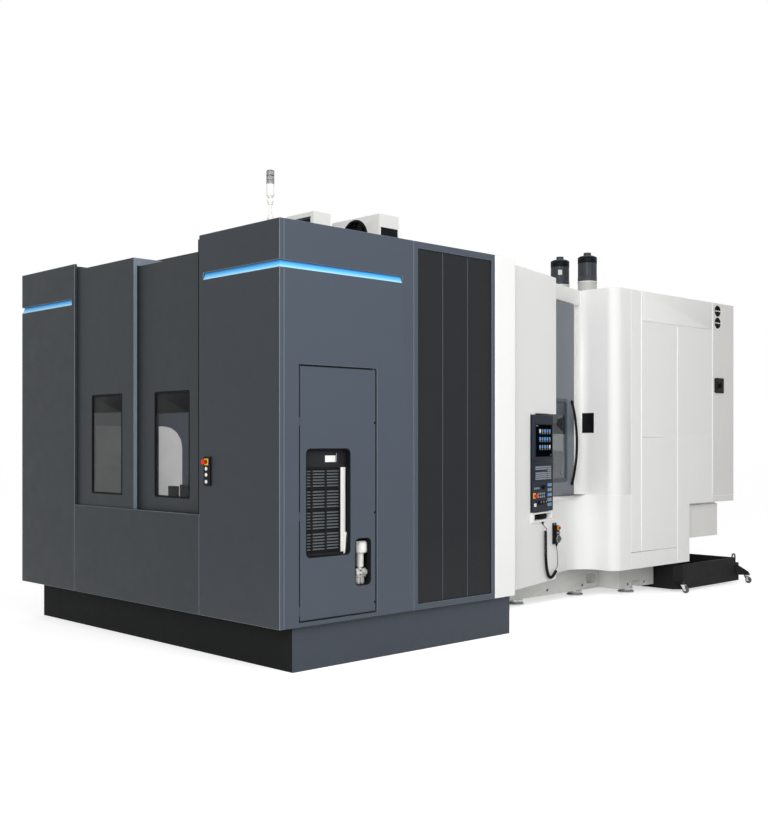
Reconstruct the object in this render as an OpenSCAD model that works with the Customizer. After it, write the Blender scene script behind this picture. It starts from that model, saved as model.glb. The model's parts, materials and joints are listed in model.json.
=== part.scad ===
// Horizontal machining centre with a two-pallet changer, in millimetres.
// x runs to the right, y to the back from the front face and z up from the floor.
// placed() then moves the origin to the middle of the floor plan.

/* [Enclosure] */
// Width of the front enclosure
enclosure_w = 3880; // [3800:10:3960]
// Height of the enclosure's top edge
enclosure_top = 3210; // [3200:1:3240]
// Height of the enclosure's bottom edge above the floor
enclosure_bottom = 330; // [322:1:336]
// Thickness of a folded cover
cover_t = 40; // [36:1:43]
// Width of the groove between neighbouring covers
seam_w = 6; // [4:1:10]
// Depth of the groove between neighbouring covers
seam_d = 6; // [3:1:10]

/* [Front module] */
// Width of the right tower
tower_w = 975; // [960:1:990]
// Width of the left column, which hides the open doors
column_w = 1000; // [985:1:1015]
// Thickness of the left column's front skin
skin_t = 26; // [24:1:27]
// Depth of the dark front module
module_depth = 2302; // [2290:1:2320]
// Width of the white corner post behind it
post_w = 263; // [250:1:280]
// Inset of the plinth on the right
plinth_inset = 60; // [45:1:80]
// Inset of the plinth on the left
plinth_inset_left = 110; // [60:1:150]
// Setback of the plinth from the front
plinth_setback = 165; // [120:1:200]
// Thickness of the plinth's plate
plinth_t = 50; // [30:1:70]
// Thickness of the drip pan under the pallets
pan_t = 30; // [15:1:40]
// Depth of the tower's jamb beside the doors
jamb_d = 560; // [400:5:600]

/* [Setup doors] */
// Height of the skirt's top, on which the doors run
skirt_top = 1090; // [1080:1:1096]
// Setback of the left door
left_setback = 28; // [28:1:32]
// Thickness of a door
door_t = 36; // [32:1:38]
// Gap between the two door planes
door_gap = 12; // [8:1:16]
// Running gap over the track
run_gap = 0.5; // [0.3:0.1:0.8]
// Right edge of the left door, left of the middle
left_door_right = 14; // [6:1:20]
// Overlap of the doors behind what covers them
door_overlap = 46; // [30:1:60]
// Gap between the right door and the tower
door_side_gap = 5; // [3:1:10]
// Top of the left door
left_door_top = 3161; // [3155:1:3166]
// Top of the right door
right_door_top = 3093; // [3080:1:3105]
// Depth of the left door's top flap
flap_d = 300; // [250:5:310]
// Gap between the flap and the right door below it
flap_gap = 3; // [2:0.5:6]
// Height of a door window
window_h = 830; // [780:1:860]
// Window's bottom edge above the skirt
window_rise = 118; // [100:1:140]
// Left window's distance from its door's free edge
window_margin = 185; // [170:1:230]
// Left window's distance from the column
window_far = 259; // [240:1:280]
// Right window's distance from its door's free edge
right_window_margin = 241; // [225:1:260]
// Thickness of a window pane
pane_t = 10; // [6:1:14]
// Setback of a pane in its door
pane_inset = 8; // [4:1:12]

/* [Light bars] */
// Height of the groove that holds a light bar
bar_h = 50; // [40:1:60]
// Depth of the groove
bar_d = 20; // [14:1:22]
// Setback of the lit edge
bar_lip = 3; // [1:0.5:6]
// Bottom of the tower's light bar
tower_bar_z = 2868; // [2840:1:2890]
// Bottom of the column's light bar
column_bar_z = 2853; // [2840:1:2890]
// Dark end left beside each bar
bar_end = 54; // [30:1:80]
// Length of a bar along the side
bar_side_l = 1203; // [1100:1:1250]

/* [Access door] */
// Front edge of the access door
access_y = 180; // [165:1:195]
// Width of the access door
access_w = 752; // [740:1:760]
// Top of the access door
access_top = 2190; // [2150:1:2230]
// Setback of the access door's face
access_inset = 6; // [5:1:9]
// Gap around the access door
access_gap = 5; // [4:1:7]
// Radius of a hinge barrel
barrel_r = 6; // [5:0.5:6]
// Heights of the hinges and latches
latch_z = [440, 1114, 1787];
// Front edge, bottom, width and height of the cooler's cut-out
grille_win = [249, 817, 418, 775];
// Front edge, bottom, width and height of the air unit's cut-out
air_win = [722, 578, 153, 345];
// Corner radius of the cut-outs
cut_r = 34; // [20:1:45]

/* [Side panels] */
// Front edge of the recessed side panels
panels_y = 1379; // [1370:1:1390]
// Rear edge of the recessed side panels
panels_end = 2263; // [2255:1:2268]
// Frame left under the panels
panels_foot = 45; // [30:1:60]
// Frame left over the panels
panels_head = 53; // [40:1:70]
// Setback of the panels
panel_recess = 12; // [8:1:18]
// Front seam of the side covers
side_seam_y = 1327; // [1310:1:1340]
// Number of panels
panel_count = 3; // [2:1:4]

/* [Console side] */
// Step from the right side to the slanted wall
wall_step = 150; // [140:1:160]
// Angle of the slanted wall
wall_angle = 15; // [14.5:0.1:15.5]
// Length of the slanted wall
wall_l = 1222; // [1200:1:1240]
// Left edge of the console's recess
recess_s = 612; // [600:1:625]
// Bottom of the console's recess
recess_z = 900; // [885:1:910]
// Setback of the door plane behind the wall's face
door_plane = 150; // [145:1:156]
// Setback of the apron's face behind the wall's face
apron_plane = 185; // [180:1:192]
// Top of the curved apron
apron_top = 1100; // [1090:1:1106]
// Radius of the apron's concave corner
apron_r = 225; // [200:5:280]
// Bottom of the lintel
lintel_z = 3056; // [3040:1:3070]

/* [Operator door] */
// Width of the operator door
op_w = 967; // [940:1:985]
// Distance of the closed door's right edge from the rear module
op_end_gap = 142; // [130:1:160]
// Gap under the lintel
op_gap = 6; // [4:1:10]
// Window's distance from the door's right edge
op_win_margin = 205; // [190:1:220]
// Width of the operator window
op_win_w = 560; // [520:5:600]
// Bottom of the operator window
op_win_z = 1252; // [1230:1:1280]
// Top of the operator window
op_win_top = 2060; // [2000:1:2090]
// Height of the bow handle
handle_h = 830; // [760:5:860]
// Reach of the bow handle
handle_reach = 72; // [60:1:80]
// Radius of the handle's bar
handle_r = 13; // [10:0.5:15]
// Handle's distance from the door's right edge
handle_margin = 75; // [60:1:90]

/* [Console] */
// Width of the console
console_w = 470; // [440:1:500]
// Height of the cable tray under the console
tray_h = 96; // [90:1:110]
// Height of the console
console_h = 894; // [870:1:898]
// Room over the console in its recess
console_head = 15; // [12:1:25]
// How far the console stands proud of the wall
console_proud = 22; // [19:1:30]
// Thickness of the console
console_t = 92; // [80:1:110]
// Gap beside the console
console_gap = 6; // [5:1:10]
// Radius of the console's hinge pin
console_pin_r = 7; // [6:0.5:8]
// Size of the touch screen
screen_size = [382, 300];
// Touch screen's bottom edge above the console's
screen_rise = 507; // [494:1:524]

/* [Rear module] */
// Setback of the rear module's right side
rear_step = 420; // [410:1:430]
// Front face of the rear module
rear_y = 4660; // [4650:1:4680]
// Radius of the rear module's front corner
corner_r = 110; // [80:1:130]
// Seam behind the front corner
corner_seam_y = 4938; // [4910:1:4960]
// Front face of the control cabinet
cabinet_y = 6554; // [6540:1:6570]
// Rear end of the control cabinet
cabinet_end = 7023; // [7000:1:7060]
// Bottom of the control cabinet
cabinet_z = 962; // [950:1:975]
// Rear end of the low side cover
low_end_y = 6067; // [6040:1:6069]
// Setback of the rear module's left side
rear_left_step = 240; // [200:5:300]
// Height of the seam above the rear module's foot
low_seam_z = 497; // [480:1:520]
// Height of the seam above the cabinet's foot
cabinet_seam_z = 1030; // [1010:1:1060]
// Setback of the hydraulic unit from the rear module's side
hydraulic_inset = 80; // [60:1:90]
// Width of the hydraulic unit
hydraulic_w = 230; // [200:1:250]
// Length of the hydraulic unit
hydraulic_l = 730; // [700:5:760]
// Bottom of the hydraulic unit
hydraulic_z = 575; // [550:1:600]

/* [Roof] */
// Top of the roof
roof_z = 3190; // [3186:1:3195]
// Thickness of the roof
roof_t = 36; // [20:1:40]
// Front edge of the roof over the pallets
roof_y = 350; // [345:1:400]
// Roof left on the right of the opening over the column
roof_rim = 280; // [260:1:300]
// Left edge from the tower's, front, width, depth and height of the small roof cooler
small_cooler = [-325, 1112, 354, 188, 360];
// Left edge from the tower's, front, width and depth of the large roof cooler
large_cooler = [-468, 1750, 620, 230];
// Height of the large roof cooler
cooler_h = 410; // [380:1:430]
// Radius of the large cooler's fan
fan_r = 140; // [120:1:150]
// Radius of the signal light
lamp_r = 29; // [25:0.5:32]
// Top of the signal light
lamp_top = 3620; // [3590:1:3650]

/* [Bed] */
// Height of the levelling feet
foot_h = 70; // [60:1:80]
// Top of the casting
bed_top = 620; // [610:1:625]
// Height of a guide rail
rail_h = 20; // [18:1:25]
// Width of a guide rail
rail_w = 60; // [50:1:70]
// Distance of the table's bed from the enclosure's side
bed_inset = 1000; // [990:1:1020]
// Distance of the column's bed from the enclosure's side
shoulder_inset = 750; // [745:1:760]
// Distance of the bed beside the coolant tank from the enclosure's side
tail_inset = 1080; // [1070:1:1100]
// Front end of the table's bed
bed_y = 2340; // [2330:1:2360]
// Front end of the column's bed
shoulder_y = 5200; // [5150:5:5260]
// Rear end of the column's bed
bed_end = 6480; // [6460:1:6500]

/* [Axes] */
// Place of the table along the bed
table_y = 3950; // [3940:1:3980]
// Half width of the table's saddle
saddle_half = 430; // [410:1:440]
// Top of the table's saddle
saddle_top = 900; // [890:1:905]
// Radius of the rotary boss under a pallet
boss_r = 280; // [260:1:290]
// Side of a square pallet
pallet_w = 800; // [780:1:810]
// Thickness of a pallet
pallet_t = 100; // [90:1:110]
// Bottom of the pallet on the table
pallet_z = 1000; // [998:1:1004]
// Half width of the column
col_half = 460; // [450:1:470]
// Width of a column leg
leg_w = 160; // [140:1:165]
// Front face of the column
col_y = 5480; // [5470:1:5490]
// Depth of the column
col_d = 900; // [880:1:930]
// Top of the column's base
col_base = 900; // [880:1:905]
// Bottom of the column's crossbeam
beam_z = 3100; // [3080:1:3110]
// Top of the column
col_top = 3360; // [3340:1:3380]
// Height of the spindle's axis
spindle_z = 1800; // [1780:1:1820]
// Front face of the spindle nose
nose_y = 4700; // [4690:1:4740]
// Radius of the spindle
spindle_r = 110; // [95:1:115]
// Distance of the twin feed screws from the middle
screw_x = 200; // [195:1:205]
// Place of the feed screws behind the column's front
screw_d = 530; // [520:1:560]
// Radius of a feed screw
screw_r = 25; // [20:1:30]
// Width of a servo motor
motor_w = 220; // [200:1:230]
// Bottom of the motor's body
motor_z = 3564; // [3550:1:3590]
// Height of the motor's body
motor_h = 244; // [220:1:260]
// Height of the encoder cap
encoder_h = 55; // [45:1:65]

/* [Pallet changer] */
// Axis of the changer
changer_y = 1950; // [1940:1:1960]
// Distance of each pallet from the axis
pallet_arm = 900; // [890:1:905]
// Top of the changer's base
base_top = 800; // [790:1:805]
// Radius of the changer's base
base_r = 250; // [230:1:270]
// Radius of the lifting shaft
lift_r = 120; // [110:1:130]
// Top of the fork's bars
fork_top = 990; // [988:1:992]
// Half gap between the fork's bars
fork_half = 310; // [300:1:315]
// Width of a fork bar
fork_w = 80; // [60:1:85]
// Half width of the partition
partition_half = 1240; // [1200:5:1260]
// Top of the partition
partition_top = 2600; // [2500:10:2700]
// Running clearance of shafts
shaft_gap = 0.3; // [0.2:0.05:0.5]

/* [Coolant tank] */
// Distance of the tank's outer side from the enclosure's side
tank_inset = 440; // [428:1:460]
// Front end of the tank
tank_y = 5890; // [5880:1:5900]
// Length of the tank
tank_l = 1200; // [1170:1:1220]
// Underside of the tank
tank_z = 28; // [24:1:34]
// Top of the tank
tank_top = 300; // [285:1:310]
// Thickness of the tank's wall
tank_t = 20; // [12:1:30]
// Size of the tank's cut front corner
tank_cut = 76; // [60:1:110]
// Diameter of a caster wheel
wheel_d = 75; // [70:1:80]
// Width of a caster wheel
wheel_w = 25; // [20:1:30]
// Trail of a caster
trail = 28; // [24:1:32]

/* [Fittings] */
// Left edge from the tower's, bottom, width and height of the setup button box
setup_box = [79, 1313, 82, 220];
// Thickness of the setup button box
box_t = 14; // [12:1:18]
// Height of a stop button over its box
stop_h = 36; // [30:1:42]
// Radius of a stop button's head
stop_r = 19; // [16:0.5:21]
// Radius of a push button
button_r = 11; // [9:0.5:12]
// Heights of the push buttons over the box's bottom
button_rise = [129, 83, 31];
// Height of the stop button over the box's bottom
stop_rise = 180; // [172:1:190]

/* [Hidden] */
$fn = 48;

dark = "#454b52";
white = "#e8e8e5";
black = "#1d1f21";
steel = "#a9adb0";

half_w = enclosure_w / 2;
inner_x = half_w - cover_t;
module_end = module_depth + post_w;
tower_x = half_w - tower_w;
column_x = column_w - half_w;
rear_x = half_w - rear_step;
rear_inner = rear_x - cover_t;
rear_left_x = rear_left_step - half_w;
right_setback = left_setback + door_t + door_gap;
door_z = skirt_top + run_gap;
track_d = right_setback + door_t + door_gap;
track_t = cover_t;
left_door_x0 = column_x - door_overlap;
right_door_x0 = -left_door_right - door_overlap;
right_door_x1 = tower_x - door_side_gap;
window_z = skirt_top + window_rise;
window_w = -left_door_right - column_x - window_margin - window_far;
rail_top = bed_top + rail_h;
stop_reach = box_t + stop_h;
bed_half = half_w - bed_inset;
shoulder_half = half_w - shoulder_inset;
tail_half = half_w - tail_inset;
tank_side = half_w - tank_inset;
tank_end = tank_y + tank_l;
// Swivel axes of the casters, off the tank's cut corner and on the arm behind it
front_caster = [tank_side + 45, tank_y + 10];
rear_caster = [tank_side + 82, tank_end + 110];
bracket_r = 45;
tank_x = tail_half + shaft_gap;
y_front = -stop_reach;
y_rear = rear_caster[1] + bracket_r;
y_mid = (y_front + y_rear) / 2;
console_s = recess_s + console_gap;
console_z = recess_z + tray_h;
recess_top = console_z + console_h + console_head;
screen_z = console_z + screen_rise;
console_pin = [console_s + 12, 14 - console_proud];

// Moves a piece from the front-face frame to the part's own origin.
module placed() translate([0, -y_mid, 0]) children();

// Frame of the slanted wall: x along the wall to the back, y inwards, z up.
module in_wall() translate([half_w - wall_step, module_end, 0]) rotate(90 + wall_angle) children();

// Plan point of a place on the slanted wall, s along it and n behind its face.
function wall_pt(s, n) = [half_w - wall_step - s * sin(wall_angle) - n * cos(wall_angle),
                          module_end + s * cos(wall_angle) - n * sin(wall_angle)];
// Distance along the wall, n behind its face, at which the plan depth y is reached.
function wall_s(y, n) = (y - module_end + n * sin(wall_angle)) / cos(wall_angle);

// Place of the closed operator door's right edge along the wall
op_reach = wall_s(rear_y, door_plane) - op_end_gap;

// Box between pairs of limits.
module block(x, y, z) translate([x[0], y[0], z[0]]) cube([x[1] - x[0], y[1] - y[0], z[1] - z[0]]);

// Rounded rectangle between pairs of limits.
module round_rect(x, y, r) {
    translate([x[0] + r, y[0]]) square([x[1] - x[0] - 2 * r, y[1] - y[0]]);
    translate([x[0], y[0] + r]) square([x[1] - x[0], y[1] - y[0] - 2 * r]);
    for (cx = [x[0] + r, x[1] - r], cy = [y[0] + r, y[1] - r]) translate([cx, cy]) circle(r);
}

// Plate or cut whose outline lies in x and z, between two depths y.
module facing_front(y) translate([0, y[1], 0]) rotate([90, 0, 0]) linear_extrude(y[1] - y[0]) children();

// Plate or cut whose outline lies in y and z, between two places x.
module facing_side(x) translate([x[0], 0, 0]) rotate([90, 0, 90]) linear_extrude(x[1] - x[0]) children();

// Round pin along y, its front end at y0.
module pin_y(x, y0, y1, z, r) translate([x, y1, z]) rotate([90, 0, 0]) cylinder(r = r, h = y1 - y0);

// Groove for a light bar round a front corner: side is 1 on the right and -1 on the left.
module light_groove(side, z, inner) {
    run = side > 0 ? [inner, half_w + 1] : [-half_w - 1, inner];
    block(run, [-1, bar_d], [z, z + bar_h]);
    out = side > 0 ? [half_w - bar_d, half_w + 1] : [-half_w - 1, bar_d - half_w];
    block(out, [-1, bar_side_l], [z, z + bar_h]);
}

// Lit wedge in that groove, thick at its foot.
module light_wedge(side, z, inner) {
    section = [[bar_lip, z], [bar_d, z], [bar_d, z + bar_h]];
    run = side > 0 ? half_w - bar_lip - inner : inner - bar_lip + half_w;
    translate([side > 0 ? inner : -half_w + bar_lip, 0, 0]) rotate([90, 0, 90])
        linear_extrude(run) polygon(section);
    mirror([side > 0 ? 0 : 1, 0, 0]) translate([half_w, bar_side_l, 0]) rotate([90, 0, 0])
        linear_extrude(bar_side_l - bar_lip) polygon([for (p = section) [-p[0], p[1]]]);
}

module front_plinth() color("#2e3134") placed() {
    x = [plinth_inset_left - half_w, half_w - plinth_inset];
    difference() {
        block(x, [plinth_setback, module_end], [0, enclosure_bottom]);
        block([x[0] + plinth_t, x[1] - plinth_t], [plinth_setback + plinth_t, module_end + 1],
              [-1, enclosure_bottom + 1]);
    }
    difference() {
        block([-inner_x, inner_x], [cover_t, module_depth], [enclosure_bottom, enclosure_bottom + pan_t]);
        block([-nose_half, nose_half], [nose_front, module_depth + 1], [enclosure_bottom - 1, bed_top]);
    }
}

nose_half = base_r + 60;
nose_front = changer_y - base_r - 60;
nose_top = bed_top - 120;
bolt_z = 118;
bolt_r = 15;

// Cast bed: the changer's nose, the table's bed and the wider bed of the column.
module bed_casting() color(white) placed() difference() {
    union() {
        block([-nose_half, nose_half], [nose_front, bed_y], [foot_h, nose_top]);
        translate([0, changer_y, foot_h]) cylinder(r = base_r, h = base_top - foot_h);
        block([-bed_half, bed_half], [bed_y, shoulder_y], [foot_h, bed_top]);
        block([-shoulder_half, shoulder_half], [shoulder_y, tank_y - 20], [foot_h, bed_top]);
        block([-shoulder_half, shoulder_half], [tank_y - 20, bed_end], [tank_top + 40, bed_top]);
        block([-tail_half, tail_half], [tank_y - 20, bed_end], [foot_h, bed_top]);
        for (x = [-350, 350])
            block([x - rail_w / 2, x + rail_w / 2], [bed_y + 40, shoulder_y], [bed_top, rail_top]);
        for (y = [col_y + 140, col_y + col_d - 140])
            block([20 - shoulder_half, shoulder_half - 20], [y - rail_w / 2, y + rail_w / 2],
                  [bed_top, rail_top]);
        for (x = [-1, 1]) {
            for (y = [bed_y + 250, table_y, shoulder_y - 250])
                translate([x * (bed_half - 140), y, 0]) cylinder(r = 70, h = foot_h);
            translate([x * (shoulder_half - 140), shoulder_y + 340, 0]) cylinder(r = 70, h = foot_h);
            translate([x * (tail_half - 140), bed_end - 160, 0]) cylinder(r = 70, h = foot_h);
        }
        translate([0, nose_front + 160, 0]) cylinder(r = 70, h = foot_h);
    }
    translate([0, changer_y, nose_top - 60]) cylinder(r = lift_r + shaft_gap, h = base_top);
    for (side = [-1, 1]) {
        for (y = [table_y + 350, shoulder_y - 300])
            translate([side * (bed_half - 40), y, bolt_z]) rotate([0, side * 90, 0])
                cylinder(r = bolt_r, h = 60);
        for (y = [shoulder_y + 176, shoulder_y + 493])
            translate([side * (shoulder_half - 40), y, bolt_z - 8]) rotate([0, side * 90, 0])
                cylinder(r = bolt_r, h = 60);
        translate([side > 0 ? 0 : -bed_half - 1, 0, 0])
            facing_side([side > 0 ? bed_half - 60 : 0, side > 0 ? bed_half + 1 : 61])
                round_rect([shoulder_y - 230, shoulder_y - 60], [foot_h + 60, foot_h + 160], 30);
        translate([side > 0 ? 0 : -shoulder_half - 1, 0, 0])
            facing_side([side > 0 ? shoulder_half - 80 : 0, side > 0 ? shoulder_half + 1 : 81])
                round_rect([shoulder_y + 240, shoulder_y + 420], [foot_h - 60, foot_h + 70], 40);
    }
}

module column_front_cover() color(dark) placed() difference() {
    block([-half_w, column_x], [0, skin_t], [enclosure_bottom, enclosure_top]);
    light_groove(-1, column_bar_z, column_x - bar_end);
    block([column_x - seam_d, column_x + 1], [-1, seam_d], [enclosure_bottom - 1, skirt_top]);
}

module left_side_cover() color(dark) placed() difference() {
    block([-half_w, -inner_x], [skin_t, module_depth], [enclosure_bottom, enclosure_top]);
    light_groove(-1, column_bar_z, column_x - bar_end);
    block([-half_w - 1, seam_d - half_w], [side_seam_y, side_seam_y + seam_w],
          [enclosure_bottom - 1, enclosure_top + 1]);
}

module tower_front_cover() color(dark) placed() difference() {
    union() {
        block([tower_x, half_w], [0, cover_t], [enclosure_bottom, enclosure_top]);
        block([tower_x, tower_x + cover_t], [0, jamb_d], [enclosure_bottom + pan_t, enclosure_top]);
    }
    light_groove(1, tower_bar_z, tower_x + bar_end);
    block([tower_x - 1, tower_x + seam_d], [-1, seam_d], [enclosure_bottom - 1, skirt_top]);
    block([tower_x - 1, tower_x + cover_t + 1], [cover_t, track_d], [skirt_top - track_t, skirt_top]);
}

access_frame = [access_y - access_gap, access_y + access_w + access_gap];

module tower_side_cover() color(dark) placed() {
    difference() {
        block([inner_x, half_w], [cover_t, module_depth], [enclosure_bottom, enclosure_top]);
        light_groove(1, tower_bar_z, tower_x + bar_end);
        block([inner_x - 1, half_w + 1], access_frame, [enclosure_bottom + pan_t, access_top + access_gap]);
        block([inner_x - 1, half_w + 1], [panels_y, panels_end],
              [enclosure_bottom + panels_foot, enclosure_top - panels_head]);
        block([half_w - seam_d, half_w + 1], [side_seam_y, side_seam_y + seam_w],
              [enclosure_bottom - 1, enclosure_top + 1]);
    }
    // Hinge barrels on the front edge of the opening
    for (z = latch_z) translate([half_w - access_inset, access_y, z - 30]) cylinder(r = barrel_r, h = 60);
}

module front_skirt() color(dark) placed() {
    block([column_x, tower_x], [0, cover_t], [enclosure_bottom, skirt_top]);
    block([-inner_x, tower_x + cover_t], [cover_t, track_d], [skirt_top - track_t, skirt_top]);
    block([-inner_x, column_x], [skin_t, cover_t], [skirt_top - track_t, skirt_top]);
}

module side_panels() color("#36373b") placed() {
    pitch = (panels_end - panels_y + seam_w) / panel_count;
    for (i = [0 : panel_count - 1])
        block([inner_x, half_w - panel_recess],
              [panels_y + i * pitch, panels_y + (i + 1) * pitch - seam_w],
              [enclosure_bottom + panels_foot, enclosure_top - panels_head]);
    // Backing sheet that carries the panels
    block([inner_x - 6, inner_x], [panels_y - 20, panels_end + 20],
          [enclosure_bottom + pan_t, roof_z - roof_t]);
}

module light_bars() color("#5bc8f5") placed() {
    light_wedge(1, tower_bar_z, tower_x + bar_end);
    light_wedge(-1, column_bar_z, column_x - bar_end);
}

module corner_post() color(white) placed() {
    block([inner_x, half_w], [module_depth, module_end], [enclosure_bottom, enclosure_top]);
    block([half_w - wall_step - cover_t, inner_x], [module_end - cover_t, module_end],
          [enclosure_bottom, enclosure_top]);
}

fold_s = 300;
// Where the wall's inner face meets the plane of the corner post
wall_root = wall_pt(wall_s(module_end, cover_t), cover_t);

module console_wall() color(white) placed() difference() {
    translate([0, 0, enclosure_bottom]) linear_extrude(enclosure_top - enclosure_bottom)
        polygon([wall_pt(0, 0), wall_pt(wall_l, 0), wall_pt(wall_l, cover_t), wall_root]);
    in_wall() block([recess_s, wall_l + 1], [-1, cover_t + 1], [recess_z, recess_top]);
    in_wall() block([fold_s, fold_s + seam_w], [-1, seam_d / 2], [enclosure_bottom - 1, enclosure_top + 1]);
}

lintel_n = [door_plane - 10, door_plane + door_t + 24];
lintel_s = wall_l - cover_t;
jamb_n = [lintel_n[1] - 12, lintel_n[1] + 20];

// Lintel over the operator door and the jamb on its right.
module door_frame() color(white) placed() {
    translate([0, 0, lintel_z]) linear_extrude(enclosure_top - lintel_z)
        polygon([wall_pt(lintel_s, cover_t), wall_pt(wall_l, cover_t), wall_pt(wall_l, lintel_n[0]),
                 wall_pt(wall_s(rear_y, lintel_n[0]), lintel_n[0]),
                 wall_pt(wall_s(rear_y, lintel_n[1]), lintel_n[1]), wall_pt(lintel_s, lintel_n[1])]);
    translate([0, 0, apron_top]) linear_extrude(enclosure_top - apron_top)
        polygon([wall_pt(op_reach + op_gap, jamb_n[0]), wall_pt(wall_s(rear_y, jamb_n[0]), jamb_n[0]),
                 wall_pt(wall_s(rear_y, jamb_n[1]), jamb_n[1]), wall_pt(op_reach + op_gap, jamb_n[1])]);
}

apron_corner = wall_pt(wall_s(rear_y, apron_plane), apron_plane);
// End of the concave corner's arc on the rear module's front, and the arc's number of steps
apron_bend = apron_corner + [apron_r / tan((90 - wall_angle) / 2), 0];
bend_steps = 24;
shelf_s = 150;

// Front corner of the rear module in plan, an outer arc of radius r.
module corner_plan(r, y_end, x_in) {
    difference() {
        union() {
            translate([rear_x - r, rear_y + r]) circle(r);
            translate([x_in, rear_y]) square([rear_x - r - x_in, cover_t]);
            translate([rear_inner, rear_y + r]) square([cover_t, y_end - rear_y - r]);
        }
        translate([rear_x - r, rear_y + r]) circle(r - cover_t);
        translate([x_in - 1, rear_y + cover_t]) square([rear_inner - x_in + 1, y_end - rear_y]);
    }
}

// Low cover that runs from behind the console round the concave corner to the rear module.
module curved_apron() color(white) placed() {
    end_n = apron_plane + cover_t;
    translate([0, 0, enclosure_bottom]) linear_extrude(apron_top - enclosure_bottom) {
        corner_plan(corner_r, corner_seam_y, apron_corner[0] - cover_t);
        polygon([wall_pt(wall_l - 200, apron_plane),
                 for (i = [0 : bend_steps])
                     let (a = 180 + wall_angle - i * (90 + wall_angle) / bend_steps)
                     apron_bend + apron_r * [cos(a), sin(a) - 1],
                 apron_bend + [0, cover_t], wall_pt(wall_s(rear_y + cover_t, end_n), end_n),
                 wall_pt(wall_l - 200, end_n)]);
    }
    // Track under the operator door
    in_wall() block([shelf_s, op_reach], [door_plane - 8, apron_plane + cover_t],
                    [apron_top - track_t, apron_top]);
    // Wall anchor of the track behind the console wall
    in_wall() block([shelf_s, shelf_s + 60], [cover_t, door_plane],
                    [apron_top - track_t, apron_top]);
}

rear_seams = [5130, 5823];
seam_z = [1687, 2900];

module rear_side_cover() color(white) placed() difference() {
    union() {
        translate([0, 0, apron_top]) linear_extrude(enclosure_top - apron_top)
            corner_plan(corner_r, corner_seam_y, apron_corner[0] - 20);
        block([rear_inner, rear_x], [corner_seam_y, low_end_y], [enclosure_bottom, enclosure_top]);
        block([rear_inner, rear_x], [low_end_y, cabinet_y], [cabinet_z, enclosure_top]);
    }
    face = [rear_x - seam_d, rear_x + 1];
    full = [enclosure_bottom - 1, enclosure_top + 1];
    for (y = rear_seams) block(face, [y, y + seam_w], full);
    block(face, [corner_seam_y, corner_seam_y + seam_w / 2], full);
    for (z = seam_z) block(face, [rear_seams[0], cabinet_y + 1], [z, z + seam_w]);
    block(face, [corner_seam_y, rear_seams[1]], [low_seam_z, low_seam_z + seam_w]);
}

module rear_left_cover() color(white) placed() {
    z = [enclosure_bottom, enclosure_top];
    block([-half_w, -inner_x], [module_depth, module_end], z);
    block([-inner_x, rear_left_x + cover_t], [module_end - cover_t, module_end], z);
    block([rear_left_x, rear_left_x + cover_t], [module_end, cabinet_y], z);
}

switch_y = 6685;
switch_z = 2277;
switch_half = [95, 85];
vent_y = 6664;
vent_z = 2986;
vent_r = 61;
vent_pitch = 135;

module control_cabinet() color(white) placed() difference() {
    union() {
        block([rear_left_x, rear_x], [cabinet_y, cabinet_end], [cabinet_z, enclosure_top]);
        // Plate of the main switch
        block([rear_x, rear_x + 12], [switch_y - switch_half[0], switch_y + switch_half[0]],
              [switch_z - switch_half[1], switch_z + switch_half[1]]);
    }
    block([rear_x - seam_d, rear_x + 1], [cabinet_y - 1, cabinet_y + seam_w],
          [cabinet_z - 1, enclosure_top + 1]);
    block([rear_x - seam_d, rear_x + 1], [cabinet_y, cabinet_end + 1],
          [cabinet_seam_z, cabinet_seam_z + seam_w]);
    // Round vents
    for (i = [0, 1])
        translate([rear_x - 30, vent_y, vent_z + i * vent_pitch]) rotate([0, 90, 0])
            cylinder(r = vent_r, h = 40);
    // Door gaps on the back
    for (x = [-0.5, 0, 0.5])
        block([x * rear_x - seam_w / 2, x * rear_x + seam_w / 2], [cabinet_end - seam_d, cabinet_end + 1],
              [cabinet_z + 60, enclosure_top - 60]);
    for (z = [cabinet_z + 60, enclosure_top - 60])
        block([rear_left_x + 60, rear_x - 60], [cabinet_end - seam_d, cabinet_end + 1], [z, z + seam_w]);
    translate([rear_x - 30, switch_y, switch_z]) rotate([0, 90, 0]) cylinder(r = 10 + shaft_gap, h = 60);
}

module main_switch_knob() color(black) placed() {
    translate([rear_x - 20, switch_y, switch_z]) rotate([0, 90, 0]) cylinder(r = 10, h = 40);
    translate([rear_x + 12 + shaft_gap, switch_y, switch_z]) rotate([0, 90, 0]) cylinder(r = 32, h = 14);
    block([rear_x + 20, rear_x + 44], [switch_y - 9, switch_y + 9], [switch_z - 30, switch_z + 30]);
}

module hydraulic_unit() color("#d5d5d2") placed() {
    x = rear_x - hydraulic_inset;
    y = [low_end_y + 3, low_end_y + 3 + hydraulic_l];
    block([x - hydraulic_w, x], y, [hydraulic_z, cabinet_z - 24]);
    block([x - hydraulic_w, x - 20], [y[0] + 20, y[1] - 20], [cabinet_z - 24, cabinet_z]);
}

pocket_t = 20;

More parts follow.
